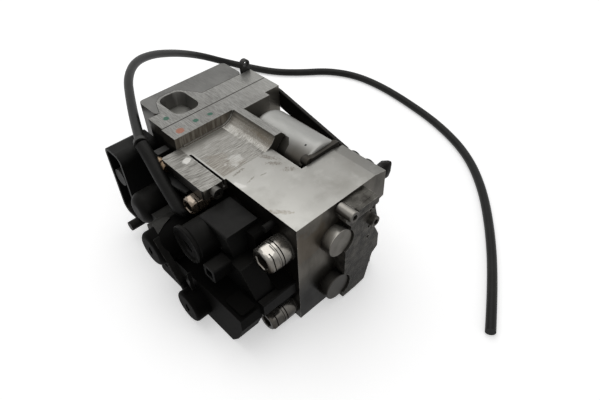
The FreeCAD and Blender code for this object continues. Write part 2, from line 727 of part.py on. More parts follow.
def motor_armature():
    for name, radius, start, length in (
            ("motor_armature", "armature_radius", "armature_start", "armature_length"),
            ("motor_commutator", "commutator_radius", "commutator_start", "commutator_length")):
        profile = [("shaft_radius", "0"), (radius, "0"), (radius, length), ("shaft_radius", length)]
        node(turned(name, profile, ("motor_x", "recess_y + " + start, "motor_z"), "Y"), name)


def pump_pieces():
    """Makes each plunger with its return spring and screw plug."""
    plunger_start = "lobe_radius + lobe_throw + lobe_gap"
    seat = "flange_right - motor_x - pump_plug_seat"
    cup = seat + " + pump_plug_seat + pump_plug_head_length - pump_plug_wall"
    springs, plugs = [], []
    for index, label in enumerate(("front", "rear")):
        at = ("motor_x", "front + front_lobe + " + str(index) + " * lobe_pitch", "motor_z")
        profile = [
            ("0", plunger_start), ("plunger_bore - plunger_play", plunger_start),
            ("plunger_bore - plunger_play", plunger_start + " + plunger_length"),
            ("0", plunger_start + " + plunger_length"),
        ]
        node(turned(label + "_pump_plunger", profile, at, "X"), label + "_pump_plunger")
        inner = "pump_spring_radius - pump_spring_wire"
        low, high = plunger_start + " + plunger_length", cup
        profile = [(inner, low), ("pump_spring_radius", low), ("pump_spring_radius", high), (inner, high)]
        node(turned(label + "_plunger_spring", profile, at, "X"), label + "_plunger_spring")
        thread = "pump_plug_radius - fit_gap"
        top = seat + " + pump_plug_seat + pump_plug_head_length"
        profile = [
            ("0", cup), ("pump_cup_radius", cup), ("pump_cup_radius", seat), (thread, seat),
            (thread, seat + " + pump_plug_seat"), ("pump_plug_head", seat + " + pump_plug_seat"),
            ("pump_plug_head", top), ("0", top),
        ]
        plugs.append(turned(label + "_pump_plug", profile, at, "X"))
    node(group("pump_plugs", plugs), "pump_plugs")


# Control plugs, pistons, seals and springs
CONTROL_PIECES_SIZES = {
    "seal_groove_depth": 1, "seal_groove_start": 9, "seal_width": 2, "seal_play": 0.03,
    "piston_end_gap": 0.3, "piston_spring_radius": 6.8,
    "pump_plug_wall": 1.4, "pump_cup_radius": 4.2,
}
add_sizes("Control pieces", CONTROL_PIECES_SIZES)


def control_pieces():
    plugs = []
    for label in ("upper", "lower"):
        face = ("left + " + label + "_bore_across", "front", label + "_bore_height")
        inside = "0 - plug_thread_length"
        thread = "plug_thread_radius - fit_gap"
        profile = [
            ("0", inside), (thread, inside), (thread, "0"), ("plug_head_radius", "0"),
            ("plug_head_radius", "plug_head_length"), ("0", "plug_head_length"),
        ]
        plugs.append(turned(label + "_bore_plug", profile, face, "-Y", [(4, "plug_edge")]))
        rest = ("left + " + label + "_bore_across", "front + bore_length - piston_end_gap - piston_length",
                label + "_bore_height")
        wall = "piston_bore - piston_play"
        groove = wall + " - seal_groove_depth"
        end = "seal_groove_start + seal_width"
        profile = [
            ("0", "0"), (wall, "0"), (wall, "seal_groove_start"), (groove, "seal_groove_start"),
            (groove, end), (wall, end), (wall, "piston_length"), ("0", "piston_length"),
        ]
        node(turned(label + "_control_piston", profile, rest, "Y"), label + "_control_piston")
        lip = "piston_bore - seal_play"
        profile = [(groove, "seal_groove_start"), (lip, "seal_groove_start"), (lip, end), (groove, end)]
        node(turned(label + "_piston_seal", profile, rest, "Y"), label + "_piston_seal")
        inner = "piston_spring_radius - piston_spring_wire"
        length = "bore_length - piston_end_gap - piston_length - plug_thread_length"
        profile = [
            (inner, "0"), ("piston_spring_radius", "0"), ("piston_spring_radius", length), (inner, length),
        ]
        seat = (face[0], "front + plug_thread_length", face[2])
        node(turned(label + "_piston_spring", profile, seat, "Y"), label + "_piston_spring")
    node(group("bore_plugs", plugs), "bore_plugs")


# Solenoid valves on the left face
SOLENOIDS_SIZES = {
    "front_valve_rim": 1.4, "rear_valve_rim": 4, "lower_valve_rim": 2.4,
    "valve_slot_width": 2.4, "valve_slot_length": 8, "coil_start": 1.5, "coil_gap": 1,
    "armature_start_x": 2, "armature_head_gap": 0.2,
}
add_sizes("Solenoids", SOLENOIDS_SIZES)


def solenoid(label):
    """Makes one valve, a moulded housing with its armature, and returns its coil."""
    at = ("left", label + "_y", label + "_z")
    radius, reach = label + "_radius", label + "_reach"
    tube = "armature_bore + valve_tube_wall"
    cavity_end = reach + " - valve_cap_depth"
    wall = radius + " - valve_wall"
    profile = [
        ("armature_bore", "0"), (tube, "0"), (tube, cavity_end), (wall, cavity_end), (wall, "0"),
        (radius, "0"), (radius, reach), ("valve_socket_radius", reach),
        ("valve_socket_radius", reach + " - valve_socket_depth"), ("0", reach + " - valve_socket_depth"),
        ("0", cavity_end), ("armature_bore", cavity_end),
    ]
    shell = turned(label + "_shell", profile, at, "-X", [(6, label + "_rim")])
    slot = box(label + "_slot", ("left - " + reach + " - overshoot",
                                 at[1] + " - valve_slot_width / 2", at[2] + " - valve_slot_length / 2"),
               ("valve_socket_depth + overshoot", "valve_slot_width", "valve_slot_length"))
    node(cut(label + "_housing", shell, [slot]), label + "_housing")
    inner, outer, end = tube + " + fit_gap", wall + " - fit_gap", cavity_end + " - coil_gap"
    profile = [(inner, "coil_start"), (outer, "coil_start"), (outer, end), (inner, end)]
    coil = turned(label + "_coil", profile, at, "-X")
    head = "armature_bore - armature_play"
    top = cavity_end + " - armature_travel - armature_head_gap"
    profile = [
        ("0", "0 - valve_pin_reach"), ("valve_pin_radius", "0 - valve_pin_reach"),
        ("valve_pin_radius", "armature_start_x"), (head, "armature_start_x"), (head, top), ("0", top),
    ]
    node(turned(label + "_armature", profile, at, "-X"), label + "_armature")
    return coil


def solenoids():
    node(group("valve_coils", [solenoid(label) for label in VALVES]), "valve_coils")


# Screw plugs of the line ports, with their sealing washers
PORT_PLUGS_SIZES = {
    "port_shoulder_share": 0.45, "port_hex_share": 1.07, "port_socket_share": 0.42,
}
add_sizes("Port plugs", PORT_PLUGS_SIZES)


def port_plug(label):
    """Makes one screw plug and its washer."""
    at = ("left", label + "_y", label + "_z")
    radius, reach = label + "_radius", label + "_reach"
    thread = radius + " * port_thread_share - fit_gap"
    groove = reach + " * port_shoulder_share"
    profile = [
        ("0", "0 - port_thread_depth"), (thread, "0 - port_thread_depth"), (thread, "washer_depth"),
        (radius, "washer_depth"), (radius, groove),
        (radius + " - port_groove_depth", groove),
        (radius + " - port_groove_depth", groove + " + port_groove_width"),
        (radius, groove + " + port_groove_width"), (radius, reach), ("0", reach),
    ]
    stem = turned(label + "_stem", profile, at, "-X", [(8, "port_rim")])
    start = groove + " + port_groove_width"
    envelope = rod(label + "_envelope", ("left - " + start, at[1], at[2]), "-X",
                   radius + " + overshoot", reach + " - " + start + " + overshoot")
    hexagon = doc.addObject("Part::Prism", label + "_hexagon")
    hexagon.Polygon = 6
    hexagon.setExpression("Circumradius", bound(radius + " * port_hex_share"))
    hexagon.setExpression("Height", bound(reach + " + 2 * overshoot"))
    place(hexagon, ("left", at[1], at[2]), "-X")
    flats = cut(label + "_flats", envelope, [hexagon])
    socket = doc.addObject("Part::Prism", label + "_socket")
    socket.Polygon = 6
    socket.setExpression("Circumradius", bound(radius + " * port_socket_share"))
    socket.setExpression("Height", bound("port_socket_depth + overshoot"))
    place(socket, ("left - " + reach + " + port_socket_depth", at[1], at[2]), "-X")
    plug = cut(label + "_plug", stem, [flats, socket])
    profile = [
        (thread, "0"), (radius + " - washer_inset", "0"), (radius + " - washer_inset", "washer_depth"),
        (thread, "washer_depth"),
    ]
    return plug, turned(label + "_washer", profile, at, "-X")


def port_plugs():
    plugs, washers = zip(*[port_plug(label) for label in PORTS])
    node(group("port_plugs", plugs), "port_plugs")
    node(group("port_washers", washers), "port_washers")


# Screw that holds the rail's end
RAIL_SCREW_SIZES = {"rail_screw_head": 4.2, "rail_screw_head_length": 5, "rail_screw_socket": 2.2,
                         "rail_screw_socket_depth": 2.5}
add_sizes("Rail screw", RAIL_SCREW_SIZES)


def rail_screw():
    at = ("left - rail_screw_across", "rail_y", "deck_height - rail_screw_drop")
    thread = "rail_screw_thread - rail_screw_play"
    profile = [
        ("0", "0 - rail_screw_depth"), (thread, "0 - rail_screw_depth"), (thread, "0"),
        ("rail_screw_head", "0"), ("rail_screw_head", "rail_screw_head_length"),
        ("0", "rail_screw_head_length"),
    ]
    screw = turned("rail_screw_body", profile, at, "-Y")
    socket = doc.addObject("Part::Prism", "rail_screw_socket_cut")
    socket.Polygon = 6
    socket.setExpression("Circumradius", bound("rail_screw_socket"))
    socket.setExpression("Height", bound("rail_screw_socket_depth + overshoot"))
    place(socket, (at[0], at[1] + " - rail_screw_head_length + rail_screw_socket_depth", at[2]), "-Y")
    node(cut("rail_screw", screw, [socket]), "rail_screw")


# Front casting beside the bore plugs. A corner is (across, height) from the left face and the base;
# below zero, it is counted from the right face or from the deck's top.
CASTING = [
    (-49.5, -2.8), (-21, -2.8), (-19.4, -11), (-19, -18), (-15.8, -30), (-19, -36), (-13, -49),
    (-13, -62.5), (-18.7, -66.5), (59, 4), (48.6, 2.6), (35, 2.6), (36, 29), (36, -41), (41, -19),
    (-49.5, -11),
]
FRONT_CASTING_SIZES = {
    "casting_depth": 10, "casting_round": 2.2, "plug_relief": 0.5,
    "casting_rail_inset": 41.5, "casting_rail_length": 21, "casting_rail_drop": 9.5,
    "casting_rail_height": 6.5, "casting_rail_rise": 3.5, "casting_rail_round": 1.5,
    "casting_screw_head": 4.5, "casting_screw_length": 13.5, "casting_screw_sunk": 1,
    "casting_screw_inset": 46, "casting_screw_drop": 5.4, "casting_screw_socket": 2.4,
    "casting_screw_socket_depth": 3, "casting_hole_radius": 1.3, "casting_hole_depth": 4,
}
add_sizes("Front casting", FRONT_CASTING_SIZES)
CASTING_HOLES = [(-24.5, -17), (-25, -32.5), (-25.4, -43), (-21.6, -15.6)]


def edged_spots(name, spots, sides, levels):
    """Writes spots into the sheet and returns their formulas, each from its nearer edge."""
    formulas = []
    for index, (across, height) in enumerate(spots):
        aliases = (name + "_across_" + str(index), name + "_height_" + str(index))
        add_sizes(name, dict(zip(aliases, (across, height))))
        formulas.append((sides[across < 0] + " + " + aliases[0], levels[height < 0] + " + " + aliases[1]))
    return formulas


casting_spots = edged_spots("casting", CASTING, ("left", "right"), ("0", "deck_height"))
hole_spots = edged_spots("casting_hole", CASTING_HOLES, ("left", "right"), ("0", "deck_height"))


def front_casting():
    plate = prism("casting_plate", "XZ", casting_spots, ("0", "front - casting_depth", "0"),
                  "casting_depth", [((3, 4, 5, 6, 7, 8, 9, 10), "casting_round")])
    at = ("right - casting_rail_inset", "front - casting_depth - casting_rail_rise",
          "deck_height - casting_rail_drop")
    length = ("casting_rail_length", "casting_rail_rise + casting_depth / 2", "casting_rail_height")
    rail = rounded_box("casting_rail", at, length, "casting_rail_round", "Y")
    tools = []
    for label in ("upper", "lower"):
        at = ("left + " + label + "_bore_across", "front - casting_depth - overshoot", label + "_bore_height")
        tools.append(rod("casting_relief_" + label, at, "Y", "plug_head_radius + plug_relief",
                         "casting_depth + 2 * overshoot"))
    at = ("right - casting_screw_inset", "front - casting_depth - overshoot",
          "deck_height - casting_screw_drop")
    tools.append(rod("casting_screw_seat", at, "Y", "casting_screw_head + fit_gap",
                     "casting_depth + overshoot - casting_screw_sunk"))
    for index, (across, height) in enumerate(hole_spots):
        at = (across, "front - casting_depth - overshoot", height)
        tools.append(rod("casting_hole_" + str(index), at, "Y", "casting_hole_radius",
                         "casting_hole_depth + overshoot"))
    node(cut("front_casting", fuse("casting_solid", [plate, rail]), tools), "front_casting")


def casting_screw():
    at = ("right - casting_screw_inset", "front - casting_screw_sunk",
          "deck_height - casting_screw_drop")
    profile = [("0", "0"), ("casting_screw_head", "0"), ("casting_screw_head", "casting_screw_length"),
               ("0", "casting_screw_length")]
    body = turned("casting_screw_body", profile, at, "-Y", [(2, "plug_edge")])
    socket = doc.addObject("Part::Prism", "casting_screw_socket_cut")
    socket.Polygon = 6
    socket.setExpression("Circumradius", bound("casting_screw_socket"))
    socket.setExpression("Height", bound("casting_screw_socket_depth + overshoot"))
    place(socket, (at[0], at[1] + " - casting_screw_length + casting_screw_socket_depth", at[2]), "-Y")
    node(cut("casting_screw", body, [socket]), "casting_screw")


# Black side: carrier plate, lower shell, guards and boxes. A corner is (along, height) from the
# front and the base; below zero, it is counted from the slab or from the deck's top.
OUTLINES = {
    "carrier": [(24, 1), (-6, 1), (-6, -15), (-54, -15), (-56, -22), (36, -15), (26, -15), (26, -39),
                (20, -48), (6, -52), (6, 23), (21, 21)],
    "shell": [(21, 0.5), (13, 11), (6, 28), (6, 39), (-82, 39), (-64, 37), (-40, 37), (-38, 14),
              (-13, 12), (-8, 0.5)],
    "guard": [(25, -35), (44, -35), (44, 34), (38, 22), (9.5, 30), (9.5, 38)],
}
side_outlines = {name: edged_spots(name, corners, ("front", "slab_face"), ("0", "deck_height"))
                 for name, corners in OUTLINES.items()}
BLACK_SIDE_SIZES = {
    "carrier_depth": 14, "carrier_round": 3, "housing_gap": 0.1, "shell_reach": 48, "shell_front": 44,
    "guard_reach": 30, "shell_round": 2.5, "guard_round": 1.5,
    "bar_start": 3, "bar_depth": 6.5, "bar_bottom": 30, "bar_height": 11.5, "bar_round": 1,
    "box_back": 88, "box_depth": 30, "box_drop": 11.4, "box_height": 25.6, "box_slant": 4,
    "box_inner": 3, "lid_base": 39, "lid_start": 8, "lid_depth": 18, "lid_inset": 3, "lid_height": 2.5,
    "lid_round": 1.5, "small_plug_back": 90, "small_plug_size": 12, "small_plug_drop": 43.4,
    "small_plug_length": 15, "small_plug_round": 2, "small_plug_socket": 7, "small_plug_socket_depth": 5,
    "peg_along": 22, "peg_drop": 7.5, "peg_radius": 2.6, "peg_length": 9,
    "duct_radius": 4.4, "duct_length": 34, "duct_across": 48, "duct_back": 28, "duct_drop": 57.3,
    "duct_tilt": 49.4,
}
add_sizes("Black side", BLACK_SIDE_SIZES)
add_places({
    "box_top": "deck_height - box_drop",
    "small_plug_y": "slab_face - small_plug_back",
    "small_plug_bottom": "deck_height - small_plug_drop",
})


def valve_clearances(name, reach):
    """Makes the bores that let the valve housings through a piece."""
    bores = []
    for label in VALVES:
        at = ("left + overshoot", label + "_y", label + "_z")
        bores.append(rod(name + "_" + label + "_hole", at, "-X", label + "_radius + housing_gap",
                         reach + " + 2 * overshoot"))
    return bores


def port_clearance(name, label, reach):
    at = ("left + overshoot", label + "_y", label + "_z")
    return rod(name + "_" + label + "_hole", at, "-X", label + "_radius + washer_inset",
               reach + " + 2 * overshoot")


def carrier_prism(name):
    return prism(name, "YZ", side_outlines["carrier"], ("left - carrier_depth", "0", "0"),
                 "carrier_depth", [((0, 1, 5, 6), "carrier_round")])


def valve_carrier():
    plate = carrier_prism("carrier_plate")
    tools = valve_clearances("carrier", "carrier_depth")
    tools.append(port_clearance("carrier", "rear_port", "carrier_depth"))
    node(cut("valve_carrier", plate, tools), "valve_carrier")


def lower_shell():
    block = prism("shell_block", "YZ", side_outlines["shell"], ("left - shell_reach", "0", "0"),
                  "shell_reach - carrier_depth", [((0, 1, 4, 6, 7, 9), "shell_round")])
    relief = box("shell_relief", ("left - guard_reach", "front", "0 - overshoot"),
                 ("guard_reach", "shell_front", "deck_height"))
    plug_room = box("shell_plug_room", ("left - shell_reach", "small_plug_y - fit_gap",
                                        "small_plug_bottom - fit_gap"),
                    ("shell_reach", "small_plug_size + 2 * fit_gap", "deck_height"))
    tools = [relief, plug_room, duct("shell_duct_groove"), *valve_clearances("shell", "shell_reach")]
    lid = rounded_box("shell_lid", ("left - shell_reach + lid_inset", "front + lid_start", "lid_base"),
                      ("shell_reach - guard_reach - 2 * lid_inset", "lid_depth", "lid_height"),
                      "lid_round", "Z")
    node(fuse("lower_shell", [cut("shell_body", block, tools), lid]), "lower_shell")


def front_guard():
    wedge = prism("guard_wedge", "YZ", side_outlines["guard"], ("left - guard_reach", "0", "0"),
                  "guard_reach - carrier_depth", [((0, 3), "guard_round")])
    bar = rounded_box("guard_bar", ("left - guard_reach", "front + bar_start", "bar_bottom"),
                      ("guard_reach", "bar_depth", "bar_height"), "bar_round", "X")
    solid = fuse("front_guard_solid", [wedge, bar])
    tools = [carrier_prism("guard_carrier_room"), *valve_clearances("guard", "guard_reach")]
    node(cut("front_guard", solid, tools), "front_guard")


def wiring_box():
    corners = [
        ("left - guard_reach", "box_top"), ("left - box_inner", "box_top"),
        ("left - box_inner", "box_top - box_height"),
        ("left - guard_reach + box_slant", "box_top - box_height"),
    ]
    block = prism("wiring_box_block", "XZ", corners, ("0", "slab_face - box_back", "0"), "box_depth",
                  [((0,), "guard_round")])
    tools = [carrier_prism("wiring_box_carrier_room"), *valve_clearances("wiring_box", "guard_reach"),
             port_clearance("wiring_box", "upper_port", "guard_reach")]
    guard_room = prism("wiring_box_guard_room", "YZ", side_outlines["guard"],
                       ("left - guard_reach - overshoot", "0", "0"), "guard_reach + overshoot",
                       [((0, 3), "guard_round")])
    node(cut("wiring_box", block, [*tools, guard_room]), "wiring_box")


def small_parts():
    plug = rounded_box("sensor_plug_body", ("left - guard_reach - small_plug_length",
                                            "small_plug_y", "small_plug_bottom"),
                       ("small_plug_length", "small_plug_size", "small_plug_size"), "small_plug_round", "X")
    socket = box("sensor_plug_socket", ("left - guard_reach - small_plug_length - overshoot",
                                        "small_plug_y + (small_plug_size - small_plug_socket) / 2",
                                        "small_plug_bottom + (small_plug_size - small_plug_socket) / 2"),
                 ("small_plug_socket_depth + overshoot", "small_plug_socket", "small_plug_socket"))
    node(cut("sensor_plug", plug, [socket]), "sensor_plug")
    node(rod("locating_peg", ("left", "front + peg_along", "deck_height - peg_drop"), "-X", "peg_radius",
             "peg_length"), "locating_peg")


def duct(name):
    pipe = rod(name, ("left - duct_across", "slab_face - duct_back", "deck_height - duct_drop"), "-Y",
               "duct_radius", "duct_length")
    tilt = FreeCAD.Rotation(FreeCAD.Vector(1, 0, 0), 90 + number("duct_tilt"))
    pipe.Placement = FreeCAD.Placement(pipe.Placement.Base, tilt)
    return pipe


def wiring_duct():
    pipe = duct("wiring_duct_pipe")
    node(cut("wiring_duct", pipe, valve_clearances("duct", "rear_valve_reach")), "wiring_duct")


# Domed sensor, connector and feed hose
CONNECTOR_SIDE_SIZES = {
    "sensor_back": 8, "sensor_height": 53, "sensor_radius": 13.5, "sensor_reach": 47,
    "sensor_round": 8,
    "socket_reach": 39, "socket_back": 13.5, "socket_depth": 25, "socket_bottom": 18,
    "socket_drop": 16.5, "socket_round": 8, "socket_wall": 2.5, "socket_floor": 7,
    "post_back": 27.5, "post_rise": 42, "connector_post_radius": 7.5, "connector_post_end": 38,
    "pin_radius": 0.9, "pin_length": 12, "pin_count": 5, "pin_pitch": 5, "pin_low": 26, "pin_row": 7,
    "latch_back": 18.5, "latch_radius": 4.2, "latch_start": 20, "latch_length": 27,
}
add_sizes("Connector side", CONNECTOR_SIDE_SIZES)
add_places({
    "socket_y": "plate_face + socket_back",
    "socket_height": "slab_top - socket_drop - socket_bottom",
})


def domed_sensor():
    length = "sensor_reach - slab_left"
    profile = [("0", "0"), ("sensor_radius", "0"), ("sensor_radius", length), ("0", length)]
    at = ("left - slab_left", "slab_face + sensor_back", "sensor_height")
    node(turned("domed_sensor", profile, at, "-X", [(2, "sensor_round")]), "domed_sensor")


def connector_shroud():
    at = ("left - socket_reach", "socket_y", "socket_bottom")
    shell = rounded_box("shroud_shell", at, ("socket_reach - plate_left", "socket_depth", "socket_height"),
                        "socket_round", "X")
    inner_at = ("left - socket_reach - overshoot", "socket_y + socket_wall",
                "socket_bottom + socket_wall")
    cavity = rounded_box("shroud_cavity", inner_at,
                         ("socket_reach - plate_left - socket_floor + overshoot",
                          "socket_depth - 2 * socket_wall", "socket_height - 2 * socket_wall"),
                         "socket_round - socket_wall", "X")
    post = rod("connector_post", ("left - plate_left - socket_floor / 2", "plate_face + post_back",
                                  "socket_bottom + post_rise"),
               "-X", "connector_post_radius", "connector_post_end - plate_left - socket_floor / 2")
    post = fuse("connector_shroud", [cut("shroud_hollow", shell, [cavity]), post, latch_pivot()])
    node(post, "connector_shroud")


def latch_pivot():
    at = ("left - latch_start", "plate_face + latch_back", "socket_bottom - latch_radius / 2")
    return rod("latch_pivot", at, "-X", "latch_radius", "latch_length")


def connector_pins():
    pins = []
    for row in range(int(number("pin_count"))):
        at = ("left - plate_left - socket_floor", "socket_y + pin_row",
              "pin_low + " + str(row) + " * pin_pitch")
        pins.append(rod("connector_pin_" + str(row + 1), at, "-X", "pin_radius", "pin_length"))
    node(group("connector_pins", pins), "connector_pins")


# Feed elbow and hose. The route of the hose was chosen by hand, point by point.
ELBOW_END = [(-67.5, 45.5, 97.76), (-64.9, 52, 97.5)]
HOSE_ROUTE = [
    (-64.9, 52, 97.5), (-54.9, 77, 96.5), (-39, 112, 97), (-22, 146, 97), (2, 176, 91.5),
    (32, 200, 78), (66, 222, 58), (96, 238, 39), (119, 243, 24.5), (138, 240, 12.5), (153, 229, 5.5),
    (163, 210, 4), (176, 181, 4), (197, 157, 4), (222, 136, 4), (237, 106, 4), (240, 70, 4),
    (235, 26, 4), (224, -26, 4), (203, -74, 4), (170, -113, 4), (126, -149, 4), (82, -178.5, 4),
    (44.1, -200.2, 4),
]
HOSE_SIZES = {"hose_radius": 4, "elbow_radius": 4.6, "clip_radius": 5.6, "clip_length": 4,
              "bend_share": 0.45, "elbow_back": 23, "elbow_drop": 26.5, "elbow_reach": 27.5, "stay_back": 10,
              "stay_depth": 7, "stay_reach": 17.5, "stay_bottom": 74, "stay_shoulder": 84,
              "stay_top": 91}
add_sizes("Hose", HOSE_SIZES)


def rounded_wire(route, share):
    """Joins straight runs by tangent arcs; each arc's radius follows from its runs and its turn."""
    spots = [FreeCAD.Vector(*spot) for spot in route]
    edges, radii, start = [], [], spots[0]
    for before, corner, after in zip(spots, spots[1:], spots[2:]):
        arriving, leaving = corner - before, after - corner
        reach = share * min(arriving.Length, leaving.Length)
        radii.append(reach / math.tan(arriving.getAngle(leaving) / 2))
        into = corner - arriving.normalize() * reach
        out = corner + leaving.normalize() * reach
        inward = (into + out) * 0.5 - corner
        middle = corner + inward.normalize() * arc_depth(reach, into, out, corner)
        edges.append(Part.LineSegment(start, into).toShape())
        edges.append(Part.Arc(into, middle, out).toShape())
        start = out
    edges.append(Part.LineSegment(start, spots[-1]).toShape())
    return Part.Wire(edges), radii


def arc_depth(reach, into, out, corner):
    """Distance from a corner to the middle of the arc that rounds it."""
    half_chord = (out - into).Length / 2
    rise = ((into + out) * 0.5 - corner).Length
    radius = reach * half_chord / rise
    return math.sqrt(radius ** 2 + reach ** 2) - radius


def tube(name, route, radius, share):
    wire, radii = rounded_wire(route, share)
    spots = [FreeCAD.Vector(*spot) for spot in route]
    circle = Part.Wire([Part.Circle(spots[0], spots[1] - spots[0], radius).toShape()])
    item = doc.addObject("Part::Feature", name)
    item.Shape = wire.makePipeShell([circle], True, True)
    item.Placement = FreeCAD.Placement()
    print(name, "radii", [round(value) for value in radii],
          "volume ratio %.4f" % (item.Shape.Volume / (math.pi * radius ** 2 * wire.Length)),
          "length %.1f" % wire.Length)
    return item


def feed_elbow():
    """A bent pipe from the carrier up to the hose's start."""
    seat = [point((across, "slab_face - elbow_back", "deck_height - elbow_drop"))
            for across in ("left - carrier_depth", "left - elbow_reach")]
    route = [tuple(spot) for spot in seat] + ELBOW_END
    node(tube("feed_elbow", route, sheet.get("elbow_radius"), sheet.get("bend_share")), "feed_elbow")


def elbow_bracket():
    corners = [
        ("left - slab_left", "stay_bottom"), ("left - slab_left", "stay_top"),
        ("left - stay_reach", "stay_top"), ("left - stay_reach", "stay_shoulder"),
    ]
    node(prism("elbow_bracket", "XZ", corners, ("0", "slab_face + stay_back", "0"), "stay_depth"),
         "elbow_bracket")


def hose_clip():
    """A band round the hose's first stretch, where it is pushed on the elbow."""
    mouth, ahead = FreeCAD.Vector(*HOSE_ROUTE[0]), FreeCAD.Vector(*HOSE_ROUTE[1])
    along = (ahead - mouth).normalize()
    outer = Part.makeCylinder(sheet.get("clip_radius"), sheet.get("clip_length"), mouth, along)
    inner = Part.makeCylinder(sheet.get("hose_radius") + sheet.get("fit_gap"), sheet.get("clip_length"),
                              mouth, along)
    item = doc.addObject("Part::Feature", "hose_clip")
    item.Shape = outer.cut(inner)
    item.Placement = FreeCAD.Placement()
    node(item, "hose_clip")


def feed_hose():
    node(tube("feed_hose", HOSE_ROUTE, sheet.get("hose_radius"), sheet.get("bend_share")), "feed_hose")


# Brackets at the right-hand side
BRACKETS_SIZES = {
    "strap_thickness": 3, "strap_height": 12, "strap_drop": 7, "strap_end": 26, "strap_wrap": 12,
    "strap_set": 2.4,
    "strap_screw_radius": 3.4, "strap_screw_length": 3,
    "foot_start": 2, "foot_length": 9, "foot_width": 10, "foot_drop": 21,
    "foot_height": 20, "foot_round": 2,
    "eye_width": 8, "eye_thickness": 4, "eye_drop": 26.5, "eye_rise": 10.5,
    "eye_hole": 2.6, "eye_round": 3.9,
}
add_sizes("Brackets", BRACKETS_SIZES)


def side_strap():
    slab_end = "right + slab_right"
    joggle = "front + strap_end + strap_wrap + strap_set"
    corners = [
        (slab_end, "slab_face"), (slab_end, "slab_face + strap_wrap"),
        (slab_end + " + strap_thickness", "slab_face + strap_wrap"),
        (slab_end + " + strap_thickness", "slab_face"),
        ("flange_right + strap_thickness + strap_set", joggle),
        ("flange_right + strap_thickness", "front + strap_end + strap_wrap"),
        ("flange_right + strap_thickness", "front + strap_end"),
        ("flange_right", "front + strap_end"), ("flange_right", "front + strap_end + strap_wrap"),
        ("flange_right + strap_set", joggle),
    ]
    node(prism("side_strap", "XY", corners, ("0", "0", "deck_height - strap_drop"), "strap_height"),
         "side_strap")


def strap_screws():
    rear = rod("strap_screw_rear", ("right + slab_right + strap_thickness",
                                    "slab_face + strap_wrap / 2", "deck_height - strap_drop + strap_height / 2"),
               "X", "strap_screw_radius", "strap_screw_length")
    front = rod("strap_screw_front", ("flange_right + strap_thickness", "front + strap_end + strap_wrap / 2",
                                      "deck_height - strap_drop + strap_height / 2"),
                "X", "strap_screw_radius", "strap_screw_length")
    node(group("strap_screws", [rear, front]), "strap_screws")


def front_foot():
    node(rounded_box("corner_bracket", ("flange_right", "front + foot_start", "deck_height - foot_drop"),
                     ("foot_width", "foot_length", "foot_height"), "foot_round", "Y"), "corner_bracket")


def rear_eyelet():
    side, top = "right + slab_right - eye_width", "slab_top + eye_rise"
    plate = rounded_box("eyelet_plate", (side, "cover_face", "slab_top - eye_drop"),
                        ("eye_width", "eye_thickness", "eye_drop + eye_rise"), "eye_round", "Y")
    hole = rod("eyelet_hole", (side + " + eye_width / 2", "cover_face - overshoot", top + " - eye_width / 2"),
               "Y", "eye_hole", "eye_thickness + 2 * overshoot")
    node(cut("rear_eyelet", plate, [hole]), "rear_eyelet")


valve_block()
rear_plate()
plate_gasket()
cover_gasket()
rear_cover()
circuit_board()
cover_screws()
motor_can()
motor_flange()
motor_screws()
shaft_bearings()
motor_magnets()
brush_plate()
motor_brushes()
pump_shaft()
motor_armature()
pump_pieces()
control_pieces()
solenoids()
port_plugs()
rail_screw()
front_casting()
casting_screw()
valve_carrier()
lower_shell()
front_guard()
wiring_box()
small_parts()
wiring_duct()
domed_sensor()
connector_shroud()
connector_pins()
feed_elbow()
elbow_bracket()
hose_clip()
feed_hose()
side_strap()
strap_screws()
front_foot()
rear_eyelet()
doc.recompute()


def check_and_write():
    """Checks every object of the document, then writes one STEP file for each node."""
    for item in doc.Objects:
        if "Invalid" in item.State or "Error" in item.State:
            raise RuntimeError(item.Name + " failed: " + str(item.State))
    for item in nodes:
        if item.Shape.isNull() or not item.Shape.isValid():
            raise RuntimeError(item.Label + " has no valid shape")
    os.makedirs("parts", exist_ok=True)
    for item in nodes:
        item.Shape.exportStep("parts/" + item.Label + ".step")
        bounds = item.Shape.optimalBoundingBox()
        print(item.Label, "%.0f mm3" % item.Shape.Volume, len(item.Shape.Solids), "solids",
              "X %.1f %.1f Y %.1f %.1f Z %.1f %.1f" % (bounds.XMin, bounds.XMax, bounds.YMin,
                                                      bounds.YMax, bounds.ZMin, bounds.ZMax))


check_and_write()
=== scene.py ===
# Brake modulator: the finishes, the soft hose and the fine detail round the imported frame.
import math

import bmesh
import bpy
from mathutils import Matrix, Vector


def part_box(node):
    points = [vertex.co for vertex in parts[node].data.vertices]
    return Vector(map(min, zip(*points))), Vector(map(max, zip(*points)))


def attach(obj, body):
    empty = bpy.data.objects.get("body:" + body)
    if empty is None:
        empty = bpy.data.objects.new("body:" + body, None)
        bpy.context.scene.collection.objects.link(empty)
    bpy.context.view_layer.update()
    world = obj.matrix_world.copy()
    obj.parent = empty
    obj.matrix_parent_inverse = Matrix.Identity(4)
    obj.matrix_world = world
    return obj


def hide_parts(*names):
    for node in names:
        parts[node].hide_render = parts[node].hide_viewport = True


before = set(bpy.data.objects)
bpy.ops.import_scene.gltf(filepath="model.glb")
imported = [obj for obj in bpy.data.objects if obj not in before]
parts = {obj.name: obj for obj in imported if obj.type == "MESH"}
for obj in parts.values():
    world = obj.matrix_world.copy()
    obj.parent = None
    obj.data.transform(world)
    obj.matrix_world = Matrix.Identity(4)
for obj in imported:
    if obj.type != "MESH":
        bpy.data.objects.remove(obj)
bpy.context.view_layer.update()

# Camera
# It stands where the photograph was taken from: above the valves, left of the front face.
camera_place = (-0.1927, -0.2666, 0.3417)
camera_turn = (46.2, 1.805, -43.543)
camera_data = bpy.data.cameras.new("camera")
camera_data.sensor_width = 36
camera_data.lens = 32.11
camera = bpy.data.objects.new("camera", camera_data)
camera.location = camera_place
camera.rotation_euler = [math.radians(angle) for angle in camera_turn]
bpy.context.scene.collection.objects.link(camera)
